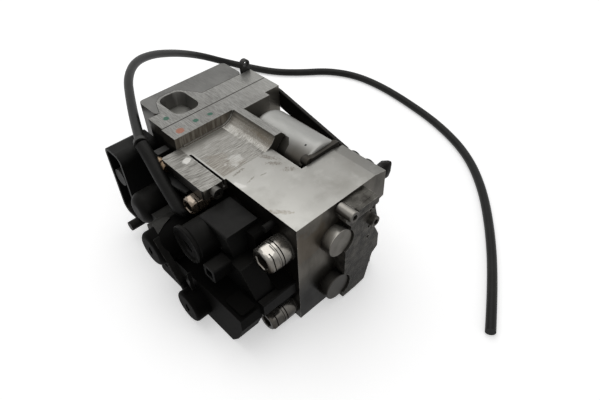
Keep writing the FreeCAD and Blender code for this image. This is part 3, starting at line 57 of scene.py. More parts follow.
bpy.context.scene.camera = camera


# Feed hose
# A length of black rubber hose, 8 mm thick, pushed on the elbow at the unit's left and laid
# round behind it on the floor. The rubber is dusty, with a dull satin shine.
def add(tree, kind, inputs=None, **settings):
    """Adds a shader node; an input is a plain value or the socket that feeds it."""
    item = tree.nodes.new("ShaderNode" + kind)
    for name, value in settings.items():
        setattr(item, name, value)
    for name, value in (inputs or {}).items():
        if isinstance(value, bpy.types.NodeSocket):
            tree.links.new(value, item.inputs[name])
        else:
            item.inputs[name].default_value = value
    return item


def start_finish(name, roughness, metallic=0.0, specular=0.5):
    """Opens a finish and returns it with its node tree and its shader."""
    finish = bpy.data.materials.new(name)
    finish.use_nodes = True
    shader = finish.node_tree.nodes["Principled BSDF"]
    shader.inputs["Roughness"].default_value = roughness
    shader.inputs["Metallic"].default_value = metallic
    shader.inputs["Specular IOR Level"].default_value = specular
    return finish, finish.node_tree, shader


def grain(tree, scale, stretch=(1, 1, 1), detail=4, turn=0, shift=(0, 0, 0)):
    """Noise fixed to the part, stretched along axes turned about Z; the scale is in cells a metre."""
    spot = add(tree, "TexCoord").outputs["Object"]
    turned = add(tree, "VectorRotate", {"Vector": spot, "Angle": math.radians(turn)},
                 rotation_type="Z_AXIS").outputs[0]
    mapping = add(tree, "Mapping", {"Vector": turned, "Scale": stretch, "Location": shift})
    return add(tree, "TexNoise", {"Vector": mapping.outputs[0], "Scale": scale, "Detail": detail,
                                  "Roughness": 0.6}).outputs["Fac"]


def spread(tree, value, low, high, start=0.0, end=1.0):
    """Maps a range of a value to another one, held at its ends."""
    return add(tree, "MapRange", {"Value": value, "From Min": low, "From Max": high,
                                  "To Min": start, "To Max": end}).outputs[0]


def tint(tree, mask, under, over):
    """Lays one colour over another where the mask is 1; a colour is RGB or a socket."""
    mix = tree.nodes.new("ShaderNodeMix")
    mix.data_type = "RGBA"
    for index, value in ((0, mask), (6, under), (7, over)):
        if isinstance(value, bpy.types.NodeSocket):
            tree.links.new(value, mix.inputs[index])
        elif index:
            mix.inputs[index].default_value = (*value, 1)
        else:
            mix.inputs[index].default_value = value
    return mix.outputs[2]


def relief(tree, shader, height, depth):
    """Turns a height in 0 to 1 into fine relief of that depth in metres."""
    bump = add(tree, "Bump", {"Height": height, "Distance": depth, "Strength": 1.0})
    tree.links.new(bump.outputs[0], shader.inputs["Normal"])


def rubber(name, dark, dusty, roughness):
    """Black rubber with a haze of dust, and a fine skin."""
    finish, tree, shader = start_finish(name, roughness, specular=0.16)
    haze = spread(tree, grain(tree, 60, detail=6), 0.42, 0.72)
    tree.links.new(tint(tree, haze, dark, dusty), shader.inputs["Base Color"])
    relief(tree, shader, grain(tree, 900, detail=2), 0.00006)
    return finish


def tube(name, line_name, route, radius, steps, finish):
    """A round tube on one smooth line that the route's points guide, closed at both ends."""
    curve = bpy.data.curves.new(line_name, "CURVE")
    curve.dimensions = "3D"
    curve.bevel_depth = radius
    curve.bevel_resolution = 6
    curve.use_fill_caps = True
    line = curve.splines.new("NURBS")
    line.points.add(len(route) - 1)
    for spot, place in zip(line.points, route):
        spot.co = (*place, 1)
    line.order_u = 3
    line.use_endpoint_u = True
    line.resolution_u = steps
    curve.materials.append(finish)
    piece = bpy.data.objects.new(name, curve)
    bpy.context.scene.collection.objects.link(piece)
    return piece


hose_radius = 0.004
hose_route = [
    (-0.0649, 0.052, 0.0975), (-0.0549, 0.077, 0.0965), (-0.039, 0.112, 0.097),
    (-0.022, 0.146, 0.097), (0.002, 0.176, 0.0915), (0.032, 0.2, 0.078), (0.066, 0.222, 0.058),
    (0.096, 0.238, 0.039), (0.119, 0.243, 0.0245), (0.138, 0.24, 0.0125), (0.153, 0.229, 0.0055),
    (0.163, 0.21, 0.004), (0.176, 0.181, 0.004), (0.197, 0.157, 0.004), (0.222, 0.136, 0.004),
    (0.237, 0.106, 0.004), (0.24, 0.07, 0.004), (0.235, 0.026, 0.004), (0.224, -0.026, 0.004),
    (0.203, -0.074, 0.004), (0.17, -0.113, 0.004), (0.126, -0.149, 0.004), (0.082, -0.1785, 0.004),
    (0.0441, -0.2002, 0.004),
]
hose_rubber = rubber("hose_rubber", (0.005, 0.005, 0.0045), (0.014, 0.014, 0.0125), 0.42)
hose = tube("rubber_hose", "feed_hose_line", hose_route, hose_radius, 12, hose_rubber)
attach(hose, "housing")
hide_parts("feed_hose")


# Valve block
# One machined piece of aluminium: a smooth deck, a milled trough with a rib, a raised slab and
# a side rail. Its tops are cut by the mill and painted bright as lit from above, and its sides are
# painted dark as shade, with streaks, and with painted shade and grime in the corners.
# The rear plate is screwed on behind, from the same metal, with a pocket for the reservoir.
def give(finish, *names):
    """Puts a finish on the frame's own parts."""
    for name in names:
        for slot in parts[name].material_slots:
            slot.material = finish


def axes(tree, output):
    """Splits the place on the part ("Object") or the way it faces ("Normal") into X, Y and Z."""
    return add(tree, "SeparateXYZ", {0: add(tree, "TexCoord").outputs[output]}).outputs


def both(tree, *masks):
    """Where every mask is 1."""
    result = masks[0]
    for mask in masks[1:]:
        result = add(tree, "Math", {0: result, 1: mask}, operation="MULTIPLY").outputs[0]
    return result


def inside(tree, low, high, soft=0.0004):
    """1 inside a box on the part, 0 outside it; None leaves a side open."""
    masks = []
    for value, start, end in zip(axes(tree, "Object"), low, high):
        if start is not None:
            masks.append(spread(tree, value, start - soft, start + soft))
        if end is not None:
            masks.append(spread(tree, value, end + soft, end - soft))
    return both(tree, *masks)


def smear(tree, centre, length, width, turn=0, ragged=0.35, scale=260):
    """A ragged oval mark on the part, its long way turned from X about Z."""
    spot = add(tree, "TexCoord").outputs["Object"]
    gap = add(tree, "VectorMath", {0: spot, 1: centre}, operation="SUBTRACT").outputs[0]
    gap = add(tree, "VectorRotate", {"Vector": gap, "Angle": math.radians(-turn)},
              rotation_type="Z_AXIS").outputs[0]
    size = (2 / length, 2 / width, 2 / width)
    gap = add(tree, "VectorMath", {0: gap, 1: size}, operation="MULTIPLY").outputs[0]
    gap = add(tree, "VectorMath", {0: gap}, operation="LENGTH").outputs["Value"]
    wobble = spread(tree, grain(tree, scale, detail=5), 0.3, 0.7, -ragged, ragged)
    reach = add(tree, "Math", {0: gap, 1: wobble}, operation="ADD").outputs[0]
    return spread(tree, reach, 1.1, 0.8)


def crevice(tree, reach, start=0.75, end=0.35):
    """1 in corners and gaps, where shade falls and dirt stays, 0 in the open: it drives the painted shade and
    grime.
    """
    shade = add(tree, "AmbientOcclusion", {"Distance": reach}, samples=6).outputs["AO"]
    return spread(tree, shade, start, end)


def edges(tree, width):
    """1 along the sharp edges, where the finish is rubbed off."""
    eased = add(tree, "Bevel", {"Radius": width}, samples=4).outputs[0]
    true = add(tree, "NewGeometry").outputs["Normal"]
    match = add(tree, "VectorMath", {0: eased, 1: true}, operation="DOT_PRODUCT").outputs["Value"]
    return spread(tree, match, 0.985, 0.9)


def ease(name, width, segments=2):
    """Breaks the sharp edges of one of the frame's parts, as a file or a tumbler would."""
    weld = parts[name].modifiers.new("weld", "WELD")
    weld.merge_threshold = 0.00002
    bevel = parts[name].modifiers.new("eased edges", "BEVEL")
    bevel.width = width
    bevel.segments = segments
    bevel.limit_method = "ANGLE"
    bevel.angle_limit = math.radians(35)
    bevel.harden_normals = True


deck_top = 0.095
slab_top = 0.1045
trough_low, trough_high = (-0.0425, -0.0195, 0.09), (0.0065, 0.0288, 0.1042)
rail_low, rail_high = (None, -0.036, None), (-0.0462, 0.0305, None)
rib_end_low, rib_end_high = (0.0, -0.0215, 0.085), (0.014, -0.0185, 0.106)
pocket_low, pocket_high, pocket_floor = (-0.045, 0.05), (0.0, 0.09), 0.0901
seam_low, seam_high = (corner[1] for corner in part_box("plate_gasket"))
paint_green = (0.03, 0.1, 0.07)
paint_red = (0.27, 0.115, 0.075)
PAINT_DOTS = (
    (paint_green, (-0.0377, 0.0576), 0.0052), (paint_green, (-0.0232, 0.0388), 0.0048),
    (paint_green, (-0.0102, 0.0378), 0.0042), (paint_red, (-0.0391, 0.0365), 0.0068),
)
SCUFFS = (
    ((-0.0308, -0.0353), 0.009, 0.0012, 15), ((-0.0212, -0.0372), 0.005, 0.0013, -10),
    ((-0.0063, -0.0252), 0.016, 0.004, -62), ((-0.0079, -0.0335), 0.012, 0.0036, -50),
    ((-0.0044, -0.0462), 0.009, 0.0045, -40), ((-0.0316, -0.0228), 0.011, 0.0022, 8),
)


def deck_colours(tree, spot, cloud):
    """The deck's top: painted bright at its left and dimmer to the right as the light falls, cloudy and
    rubbed in patches.
    """
    left, middle, right = (0.39, 0.384, 0.36), (0.265, 0.26, 0.242), (0.15, 0.147, 0.136)
    stained, rubbed = (0.17, 0.16, 0.137), (0.42, 0.415, 0.39)
    # Painted light: brighter to the left, dimmer to the right.
    deck = tint(tree, spread(tree, spot[0], -0.045, 0.002), left, middle)
    deck = tint(tree, spread(tree, spot[0], 0.018, 0.055), deck, right)
    deck = tint(tree, spread(tree, cloud, 0.45, 0.8, 0.0, 0.45), deck, stained)
    patches = grain(tree, 75, detail=6, shift=(5, 2, 1))
    deck = tint(tree, spread(tree, patches, 0.52, 0.7, 0.0, 0.3), deck, rubbed)
    in_pocket = inside(tree, (*pocket_low, None), (*pocket_high, slab_top - 0.001))
    return tint(tree, in_pocket, deck, rubbed)


def slab_colours(tree, spot, cloud):
    """The slab's top: a fine hatch crossed by the mill's swirls, paler to the right."""
    dark, light, swirled = (0.14, 0.137, 0.128), (0.275, 0.272, 0.256), (0.3, 0.297, 0.282)
    clouded, right = (0.11, 0.106, 0.098), (0.34, 0.335, 0.315)
    hatch = grain(tree, 1900, (1, 0.07, 1), detail=2)
    swirl = grain(tree, 1500, (1, 0.1, 1), detail=2, turn=20)
    slab = tint(tree, spread(tree, hatch, 0.34, 0.66), dark, light)
    slab = tint(tree, spread(tree, swirl, 0.5, 0.68, 0.0, 0.5), slab, swirled)
    slab = tint(tree, spread(tree, cloud, 0.46, 0.7, 0.0, 0.4), slab, clouded)
    return tint(tree, spread(tree, spot[0], 0.01, 0.052, 0.0, 0.45), slab, right)


def top_colours(tree):
    """The deck, the darker hatched slab above it, and the side rail, hatched the other way."""
    rail_dark, rail_light = (0.115, 0.11, 0.098), (0.31, 0.302, 0.28)
    spot = axes(tree, "Object")
    cloud = grain(tree, 30, detail=5)
    on_slab = spread(tree, spot[2], slab_top - 0.0007, slab_top - 0.0003)
    top = tint(tree, on_slab, deck_colours(tree, spot, cloud), slab_colours(tree, spot, cloud))
    across = grain(tree, 1500, (0.09, 1, 1), detail=3, turn=6)
    rail = tint(tree, spread(tree, across, 0.36, 0.64), rail_dark, rail_light)
    return tint(tree, inside(tree, rail_low, rail_high), top, rail)


def trough_marks(tree, colour):
    """Lines left by the ball mill along the trough, a painted highlight on its rear lip, brown oil with
    painted shade up its steep right side, and brown oil at its left foot.
    """
    dark, light, wave = (0.12, 0.113, 0.098), (0.37, 0.362, 0.337), (0.15, 0.142, 0.126)
    rear, lip_highlight, oil_and_shade = (0.46, 0.45, 0.42), (0.6, 0.59, 0.56), (0.115, 0.094, 0.066)
    foot, worn = (0.17, 0.14, 0.105), (0.47, 0.465, 0.44)
    along = axes(tree, "Object")[1]
    lines = grain(tree, 2600, (0.045, 1, 0.5), detail=3)
    waves = grain(tree, 260, (0.2, 1, 1), detail=3)
    milled = tint(tree, spread(tree, lines, 0.36, 0.62), dark, light)
    milled = tint(tree, spread(tree, waves, 0.5, 0.72, 0.0, 0.45), milled, wave)
    milled = tint(tree, spread(tree, along, 0.008, 0.026, 0.0, 0.5), milled, rear)
    # A painted highlight along the trough's rear lip.
    milled = tint(tree, spread(tree, along, 0.0276, 0.0284), milled, lip_highlight)
    # Brown oil with painted shade on the trough's steep faces.
    steep = spread(tree, axes(tree, "Normal")[2], 0.995, 0.75)
    stained = spread(tree, grain(tree, 120, (0.6, 0.2, 1), detail=6), 0.3, 0.62, 0.2, 0.75)
    milled = tint(tree, both(tree, steep, stained), milled, oil_and_shade)
    left_foot = smear(tree, (-0.036, -0.012, deck_top), 0.024, 0.034, 0, 0.5, 120)
    milled = tint(tree, both(tree, left_foot, spread(tree, lines, 0.3, 0.7, 0.5, 0.1)), milled, foot)
    worn_patch = smear(tree, (-0.0248, -0.01, deck_top), 0.0155, 0.0115, 20, 0.4)
    milled = tint(tree, both(tree, worn_patch, spread(tree, lines, 0.3, 0.55, 0.1, 0.65)), milled, worn)
    return tint(tree, inside(tree, trough_low, trough_high), colour, milled)


def deck_marks(tree, colour):
    """Scuffs, a brown edge at the front left, a bright rubbed corner, a painted highlight on the notch at the
    rail's rear corner, and the fitter's paint dots.
    """
    scuff, brown = (0.13, 0.115, 0.095), (0.15, 0.125, 0.09)
    bright, notch_highlight = (0.5, 0.49, 0.465), (0.62, 0.61, 0.58)
    for (x, y), length, width, turn in SCUFFS:
        mark = smear(tree, (x, y, deck_top), length, width, turn, 0.7, 700)
        mark = both(tree, mark, spread(tree, grain(tree, 900, detail=4), 0.4, 0.6, 0.1, 0.85))
        colour = tint(tree, mark, colour, scuff)
    corner = smear(tree, (-0.0372, -0.0745, deck_top), 0.02, 0.0035, -50, 0.6)
    corner = both(tree, corner, spread(tree, grain(tree, 500), 0.35, 0.65, 0.1, 0.6))
    colour = tint(tree, corner, colour, brown)
    rubbed = smear(tree, (-0.041, -0.034, deck_top), 0.011, 0.005, -60, 0.4)
    colour = tint(tree, both(tree, rubbed, 0.75), colour, bright)
    # A painted highlight on the notch at the rail's rear corner.
    notch = smear(tree, (-0.0505, 0.0143, deck_top), 0.0085, 0.0055, 30, 0.25, 400)
    colour = tint(tree, both(tree, notch, 0.75), colour, notch_highlight)
    for paint, (x, y), size in PAINT_DOTS:
        dot = smear(tree, (x, y, slab_top), size, size, 0, 0.2, 500)
        thin = spread(tree, grain(tree, 1100, detail=3), 0.3, 0.6, 0.75, 1.0)
        colour = tint(tree, both(tree, dot, thin), colour, paint)
    return colour


def front_colours(tree, spot, cloud, streaks):
    """The front face: painted dark grey as shade with paler streaks, painted near black as deep shade at its
    foot, and a rusty corner.
    """
    dark, light, streak = (0.046, 0.041, 0.034), (0.122, 0.112, 0.096), (0.15, 0.14, 0.12)
    shaded, rusty = (0.003, 0.0027, 0.0022), (0.075, 0.052, 0.028)
    front = tint(tree, spread(tree, cloud, 0.35, 0.65), dark, light)
    front = tint(tree, spread(tree, streaks, 0.55, 0.75, 0.0, 0.25), front, streak)
    # Painted shade, near black, towards the front face's foot.
    front = tint(tree, spread(tree, spot[2], 0.05, 0.026, 0.0, 0.97), front, shaded)
    rust = smear(tree, (-0.036, -0.094, 0.075), 0.05, 0.028, 0, 0.6, 90)
    return tint(tree, both(tree, rust, 0.4), front, rusty)


def side_colours(tree):
    """The sides, painted dark as shade: near black on the left and in the recess, dark grey with streaks in
    front.
    """
    slab_dark, slab_light = (0.12, 0.105, 0.085), (0.235, 0.215, 0.185)
    left_dark, left_light, slab_end = (0.004, 0.0037, 0.003), (0.011, 0.0095, 0.0078), (0.045, 0.04, 0.033)
    right_dark, right_light, recess = (0.06, 0.055, 0.047), (0.15, 0.14, 0.125), (0.13, 0.122, 0.105)
    pocket, rib_end = (0.15, 0.146, 0.135), (0.062, 0.058, 0.047)
    spot = axes(tree, "Object")
    face = axes(tree, "Normal")
    to_front = spread(tree, face[1], -0.4, -0.8)
    streaks = grain(tree, 520, (1, 1, 0.12), detail=4)
    cloud = grain(tree, 55, (1, 1, 0.5), detail=6)
    in_recess = inside(tree, (0.0, 0.0, None), (None, None, None))
    front = tint(tree, in_recess, front_colours(tree, spot, cloud, streaks), recess)
    slab_face = tint(tree, spread(tree, streaks, 0.4, 0.6), slab_dark, slab_light)
    on_slab = inside(tree, (None, 0.0, 0.0905), (0.0, None, None))
    # Painted shade: near black on the left side and the slab's left end.
    left = tint(tree, spread(tree, cloud, 0.45, 0.7), left_dark, left_light)
    left = tint(tree, inside(tree, (None, 0.029, 0.0952), (-0.035, None, None)), left, slab_end)
    right = tint(tree, spread(tree, cloud, 0.35, 0.65), right_dark, right_light)
    colour = tint(tree, to_front, left, tint(tree, on_slab, front, slab_face))
    colour = tint(tree, spread(tree, face[0], 0.4, 0.8), colour, right)
    margin = 0.0002
    in_pocket = inside(tree, (pocket_low[0] - margin, pocket_low[1] - margin, pocket_floor),
                       (pocket_high[0] + margin, pocket_high[1] + margin, None))
    colour = tint(tree, in_pocket, colour, pocket)
    # Painted shade on the rib's dark end.
    at_rib = inside(tree, rib_end_low, rib_end_high, 0.0003)
    return tint(tree, both(tree, at_rib, to_front), colour, rib_end)


def machined_block():
    grime_and_shade, rubbed = (0.022, 0.017, 0.012), (0.4, 0.39, 0.365)
    drain_shade, seam_dark = (0.004, 0.0035, 0.003), (0.03, 0.026, 0.02)
    finish, tree, shader = start_finish("machined_block", 0.34, 0.7, 0.15)
    up = spread(tree, axes(tree, "Normal")[2], 0.3, 0.65)
    tops = deck_marks(tree, trough_marks(tree, top_colours(tree)))
    # Painted light on the tops and painted shade on the sides.
    colour = tint(tree, up, side_colours(tree), tops)
    # Painted shade and grime in corners and gaps.
    colour = tint(tree, both(tree, crevice(tree, 0.005, 0.65, 0.25), 0.85), colour, grime_and_shade)
    worn = spread(tree, grain(tree, 300), 0.35, 0.6)
    colour = tint(tree, both(tree, edges(tree, 0.0005), worn), colour, rubbed)
    # Painted shade inside the drain hole.
    in_drain = inside(tree, (*pocket_low, 0.07), (*pocket_high, pocket_floor - 0.0002), 0.0002)
    colour = tint(tree, in_drain, colour, drain_shade)
    seam = inside(tree, (None, seam_low - 0.0003, None), (None, seam_high + 0.0003, None), 0.0002)
    colour = tint(tree, both(tree, seam, 0.75), colour, seam_dark)
    tree.links.new(colour, shader.inputs["Base Color"])
    cloud = grain(tree, 60, detail=5)
    tree.links.new(spread(tree, cloud, 0.3, 0.75, 0.28, 0.5), shader.inputs["Roughness"])
    relief(tree, shader, grain(tree, 1500, (0.05, 1, 1), detail=2), 0.00001)
    return finish


give(machined_block(), "valve_block", "rear_plate")
ease("valve_block", 0.0005)
ease("rear_plate", 0.0005)


# Rear cover and gaskets
# A duller cast aluminium lid over the electronics, screwed on from behind. Two thin black rubber
# gaskets show as dark seams, and the pistons' seals are of the same rubber.
def cover_metal():
    dark, light, brushed = (0.09, 0.089, 0.083), (0.145, 0.143, 0.135), (0.18, 0.178, 0.168)
    side_dark, side_light = (0.03, 0.027, 0.023), (0.075, 0.07, 0.06)
    grime_and_shade, rubbed = (0.018, 0.015, 0.012), (0.26, 0.255, 0.235)
    finish, tree, shader = start_finish("cover_metal", 0.42, 0.6)
    cloud = grain(tree, 45, (1, 0.5, 1), detail=6)
    fine = grain(tree, 800, (1, 0.2, 1), detail=3)
    top = tint(tree, spread(tree, cloud, 0.35, 0.65), dark, light)
    top = tint(tree, spread(tree, fine, 0.5, 0.7, 0.0, 0.4), top, brushed)
    side = tint(tree, spread(tree, cloud, 0.4, 0.65), side_dark, side_light)
    # Painted light on the tops and painted shade on the sides.
    colour = tint(tree, spread(tree, axes(tree, "Normal")[2], 0.3, 0.7), side, top)
    # Painted shade and grime in corners.
    colour = tint(tree, both(tree, crevice(tree, 0.005), 0.8), colour, grime_and_shade)
    colour = tint(tree, both(tree, edges(tree, 0.0006), 0.6), colour, rubbed)
    tree.links.new(colour, shader.inputs["Base Color"])
    relief(tree, shader, fine, 0.000012)
    return finish


gasket_rubber = rubber("gasket_rubber", (0.005, 0.005, 0.005), (0.012, 0.011, 0.01), 0.6)
give(cover_metal(), "rear_cover")
give(gasket_rubber, "plate_gasket", "cover_gasket", "upper_piston_seal", "lower_piston_seal")
ease("rear_cover", 0.0006)


# Steel parts inside and small fasteners
# The armature, the magnets, the washers and the rail's screw are of dark oiled steel. The shaft,
# plungers, pistons, valve armatures, springs and cover screws are turned or wound from bright steel.
def plated(name, bright, dull, rust, roughness, stains=0.3):
    """Plated or turned steel: painted bright on top and dull beneath as light falls from above, with rust in
    patches, painted shade and grime in its corners, and painted shade towards the floor.
    """
    fleck_dark, grime_and_shade, foot_shade = (0.06, 0.055, 0.048), (0.012, 0.01, 0.008), (0.015, 0.013, 0.011)
    finish, tree, shader = start_finish(name, roughness, 0.85)
    haze = grain(tree, 70, detail=6)
    fleck = grain(tree, 900, detail=3)
    up = spread(tree, axes(tree, "Normal")[2], -0.1, 0.85)
    # Painted light on top and painted shade beneath.
    colour = tint(tree, up, dull, bright)
    colour = tint(tree, spread(tree, haze, 0.5, 0.75, 0.0, stains), colour, rust)
    colour = tint(tree, spread(tree, fleck, 0.62, 0.75, 0.0, 0.25), colour, fleck_dark)
    # Painted shade and grime in corners.
    colour = tint(tree, both(tree, crevice(tree, 0.003), 0.8), colour, grime_and_shade)
    # Painted shade towards the floor.
    foot = spread(tree, axes(tree, "Object")[2], 0.045, 0.015, 0.0, 0.7)
    colour = tint(tree, foot, colour, foot_shade)
    tree.links.new(colour, shader.inputs["Base Color"])
    tree.links.new(spread(tree, haze, 0.3, 0.8, roughness - 0.06, roughness + 0.12),
                   shader.inputs["Roughness"])
    relief(tree, shader, fleck, 0.000006)
    return finish


dark_steel = plated("dark_steel", (0.09, 0.086, 0.078), (0.02, 0.019, 0.017), (0.07, 0.05, 0.032), 0.42)
turned_steel = plated("turned_steel", (0.5, 0.48, 0.45), (0.12, 0.11, 0.1), (0.2, 0.14, 0.09), 0.3)
give(dark_steel, "motor_armature", "motor_magnets", "port_washers", "rail_screw")
give(turned_steel, "pump_shaft", "front_pump_plunger", "rear_pump_plunger",
     "front_plunger_spring", "rear_plunger_spring", "upper_control_piston", "lower_control_piston",
     "upper_piston_spring", "lower_piston_spring", "cover_screws", "front_valve_armature",
     "rear_valve_armature", "lower_valve_armature")


# Motor can
# A drawn steel can, zinc plated, that lies in the block's recess. It is painted bright on top and
# in shade down its sides, with painted shade low on its left, a painted shadow beside the rib and
# painted shade and grime in its corners, and a brown rusty seam runs along its far side.
def beside_rib(tree, spot):
    """The shaded patch of the can that lies against the rib's end."""
    across = add(tree, "Math", {0: spot[0], 1: spot[1]}, operation="SUBTRACT").outputs[0]
    return both(tree, inside(tree, (None, -0.0272, None), (0.0168, -0.015, None), 0.0002),
                spread(tree, across, 0.0402, 0.0398))


def far_seam(tree, spot):
    """A ragged band along the can's far side."""
    wobble = spread(tree, grain(tree, 320, detail=5), 0.3, 0.7, -0.0016, 0.0016)
    ragged = add(tree, "Math", {0: spot[0], 1: wobble}, operation="ADD").outputs[0]
    return both(tree, spread(tree, ragged, 0.0385, 0.0412),
                spread(tree, grain(tree, 180, detail=5), 0.35, 0.6, 0.35, 1.0))


def motor_zinc():
    shaded, bright, dull = (0.06, 0.056, 0.048), (0.32, 0.318, 0.302), (0.19, 0.193, 0.186)
    rust, left_shade, rib_shade = (0.17, 0.115, 0.07), (0.07, 0.062, 0.05), (0.034, 0.032, 0.026)
    hole, grime_and_shade, end = (0.01, 0.01, 0.01), (0.022, 0.02, 0.016), (0.27, 0.267, 0.252)
    finish, tree, shader = start_finish("motor_zinc", 0.4, 0.7)
    spot = axes(tree, "Object")
    haze = grain(tree, 55, (1, 0.35, 1), detail=6)
    round_side = spread(tree, axes(tree, "Normal")[2], 0.5, 0.985)
    # Painted light on the can's top and painted shade down its sides.
    colour = tint(tree, round_side, shaded, bright)
    colour = tint(tree, spread(tree, haze, 0.45, 0.7, 0.0, 0.35), colour, dull)
    colour = tint(tree, far_seam(tree, spot), colour, rust)
    # Painted shade low on the can's left.
    low_left = both(tree, spread(tree, spot[0], 0.022, 0.009), spread(tree, spot[1], -0.02, -0.034))
    colour = tint(tree, low_left, colour, left_shade)
    # The rib's painted shadow on the can.
    colour = tint(tree, beside_rib(tree, spot), colour, rib_shade)
    pin = smear(tree, (0.0184, -0.0394, 0.0999), 0.002, 0.0018, 0, 0.15, 900)
    colour = tint(tree, pin, colour, hole)
    # Painted shade and grime in corners.
    colour = tint(tree, both(tree, crevice(tree, 0.01, 0.7, 0.25), 0.85), colour, grime_and_shade)
    # The front end takes the lit tone, in place of the painted shade.
    colour = tint(tree, spread(tree, spot[1], -0.0462, -0.0478), colour, end)
    tree.links.new(colour, shader.inputs["Base Color"])
    tree.links.new(spread(tree, haze, 0.3, 0.8, 0.36, 0.52), shader.inputs["Roughness"])
    relief(tree, shader, haze, 0.00004)
    return finish


can_zinc = motor_zinc()
give(can_zinc, "motor_can")

# Motor flange, can shoulder and dowel
# The cast flange that closes the can's front end. Its square top is a wall that stands a little
# above the deck, with the can's rounded shoulder behind it and the round head of a dowel beside it.
can_low, can_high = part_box("motor_can")
flange_low, flange_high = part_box("motor_flange")
motor_x = (can_low[0] + can_high[0]) / 2
motor_z = (can_low[2] + can_high[2]) / 2
flange_radius = 0.0204
flange_cut = 0.0978
shaft_clear = 0.0045
round_steps = 96
wall_left, wall_right = 0.0112, 0.0392
wall_foot, wall_top = 0.088, flange_cut + 0.0003
wall_front, wall_back = flange_low[1] + 0.0001, -0.0478
SHOULDER_RINGS = ((-0.0436, 0.0204), (-0.0436, 0.0206), (-0.047, 0.0206), (-0.0484, 0.0202),
                  (-0.049, 0.0192), (-0.0492, 0.017))
dowel_radius = 0.004
dowel_x, dowel_y, dowel_z = 0.0107, -0.0467, 0.0947
DOWEL_RINGS = ((-0.0052, 0.8), (-0.0052, 1), (0.001, 1), (0.0018, 0.86), (0.0021, 0.6), (0.0022, 0.2))


def finish_piece(name, shape, *finishes):
    """Turns a shape into a piece on the housing, smooth but for its sharp edges."""
    bmesh.ops.recalc_face_normals(shape, faces=shape.faces)
    mesh = bpy.data.meshes.new(name)
    shape.to_mesh(mesh)
    shape.free()
    for face in mesh.polygons:
        face.use_smooth = True
    mesh.set_sharp_from_angle(angle=math.radians(32))
    for finish in finishes:
        mesh.materials.append(finish)
    piece = bpy.data.objects.new(name, mesh)
    bpy.context.scene.collection.objects.link(piece)
    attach(piece, "housing")
    return piece


def bridge(shape, loops, capped=True, dirt_and_shade=None):
    """Skins a row of loops of points; it caps both ends, or else joins the last loop to the first.

    The faces for which dirt_and_shade(row, step) holds take the second finish, for dirt and painted shade."""
    rows = [[shape.verts.new(spot) for spot in loop] for loop in loops]
    after = rows[1:] if capped else rows[1:] + rows[:1]
    for row, (first, second) in enumerate(zip(rows, after)):
        for index in range(len(first)):
            beside = (index + 1) % len(first)
            face = shape.faces.new((first[index], first[beside], second[beside], second[index]))
            face.material_index = int(dirt_and_shade(row, index)) if dirt_and_shade else 0
    if capped:
        shape.faces.new(rows[0][::-1])
        shape.faces.new(rows[-1])


def circle(centre, radius, steps=48):
    """Points round a circle; the radius is a length or a function of the angle."""
    spots = []
    for step in range(steps):
        angle = 2 * math.pi * step / steps
        reach = radius(angle) if callable(radius) else radius
        spots.append((centre[0] + reach * math.cos(angle), centre[1] + reach * math.sin(angle)))
    return spots


def rings_along_y(centre, rings, steps=48):
    """Circles round a line along Y; a ring is its place on the line and its radius."""
    return [[(x, y, z) for x, z in circle(centre, radius, steps)] for y, radius in rings]


def milled_disc(angle):
    """The reach of the flange's edge, flat where its top is milled off."""
    rise = math.sin(angle)
    return min(flange_radius, (flange_cut - motor_z) / rise) if rise > 0 else flange_radius


def wall_section(y):
    """The four corners of the square wall at one of its two faces."""
    return [(wall_left, y, wall_foot), (wall_right, y, wall_foot), (wall_right, y, wall_top),
            (wall_left, y, wall_top)]


flange_dark = plated("flange_dark", (0.035, 0.032, 0.027), (0.012, 0.011, 0.009), (0.05, 0.036, 0.024), 0.5)
give(flange_dark, "motor_screws")
flange_rings = ((flange_low[1], milled_disc), (flange_high[1], milled_disc),
                (flange_high[1], shaft_clear), (flange_low[1], shaft_clear))
flange_shape = bmesh.new()
bridge(flange_shape, rings_along_y((motor_x, motor_z), flange_rings, round_steps), capped=False)
bridge(flange_shape, [wall_section(wall_front), wall_section(wall_back)])
flange = finish_piece("cast_flange", flange_shape, flange_dark)
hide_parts("motor_flange")

shoulder_shape = bmesh.new()
bridge(shoulder_shape, rings_along_y((motor_x, motor_z), SHOULDER_RINGS, round_steps))
finish_piece("can_shoulder", shoulder_shape, can_zinc)

dowel_shape = bmesh.new()
dowel_rings = [(dowel_y + along, dowel_radius * share) for along, share in DOWEL_RINGS]
bridge(dowel_shape, rings_along_y((dowel_x, dowel_z), dowel_rings))
finish_piece("flange_dowel", dowel_shape, flange_dark)


# Side strap and its screws
# A pressed steel band, painted black, from the slab's right end down to the flange. It falls
# towards the front and is held by a round-headed screw at each end.
strap_low, strap_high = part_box("side_strap")
strap_rear_top = 0.0991
strap_height = 0.016
strap_thickness = 0.003
strap_fall = 0.135
slab_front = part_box("valve_block")[1][1] - 0.0175
strap_bend, strap_foot, strap_lean = -0.0536, -0.056, 0.0024
strap_screw_radius = 0.0034
strap_screw_inset = 0.006
STRAP_SCREW = ((-0.0004, 1), (0.0008, 1), (0.0016, 0.8), (0.0016, 0.42), (0.0006, 0.38), (0.0006, 0.1))


def strap_top(y):
    """The height of the strap's upper edge at a distance along the block."""
    return strap_rear_top - (slab_front - y) * strap_fall


def strap_section(x, y):
    """The strap's upright cross-section, from its inner face outwards."""
    top = strap_top(y)
    low = top - strap_height
    return [(x, y, low), (x, y, top), (x + strap_thickness, y, top), (x + strap_thickness, y, low)]


def round_edges(piece, width, segments):
    """Rolls over the edges of one of the scene's own pieces, as pressing does."""
    rolled = piece.modifiers.new("eased edges", "BEVEL")
    rolled.width = width
    rolled.segments = segments


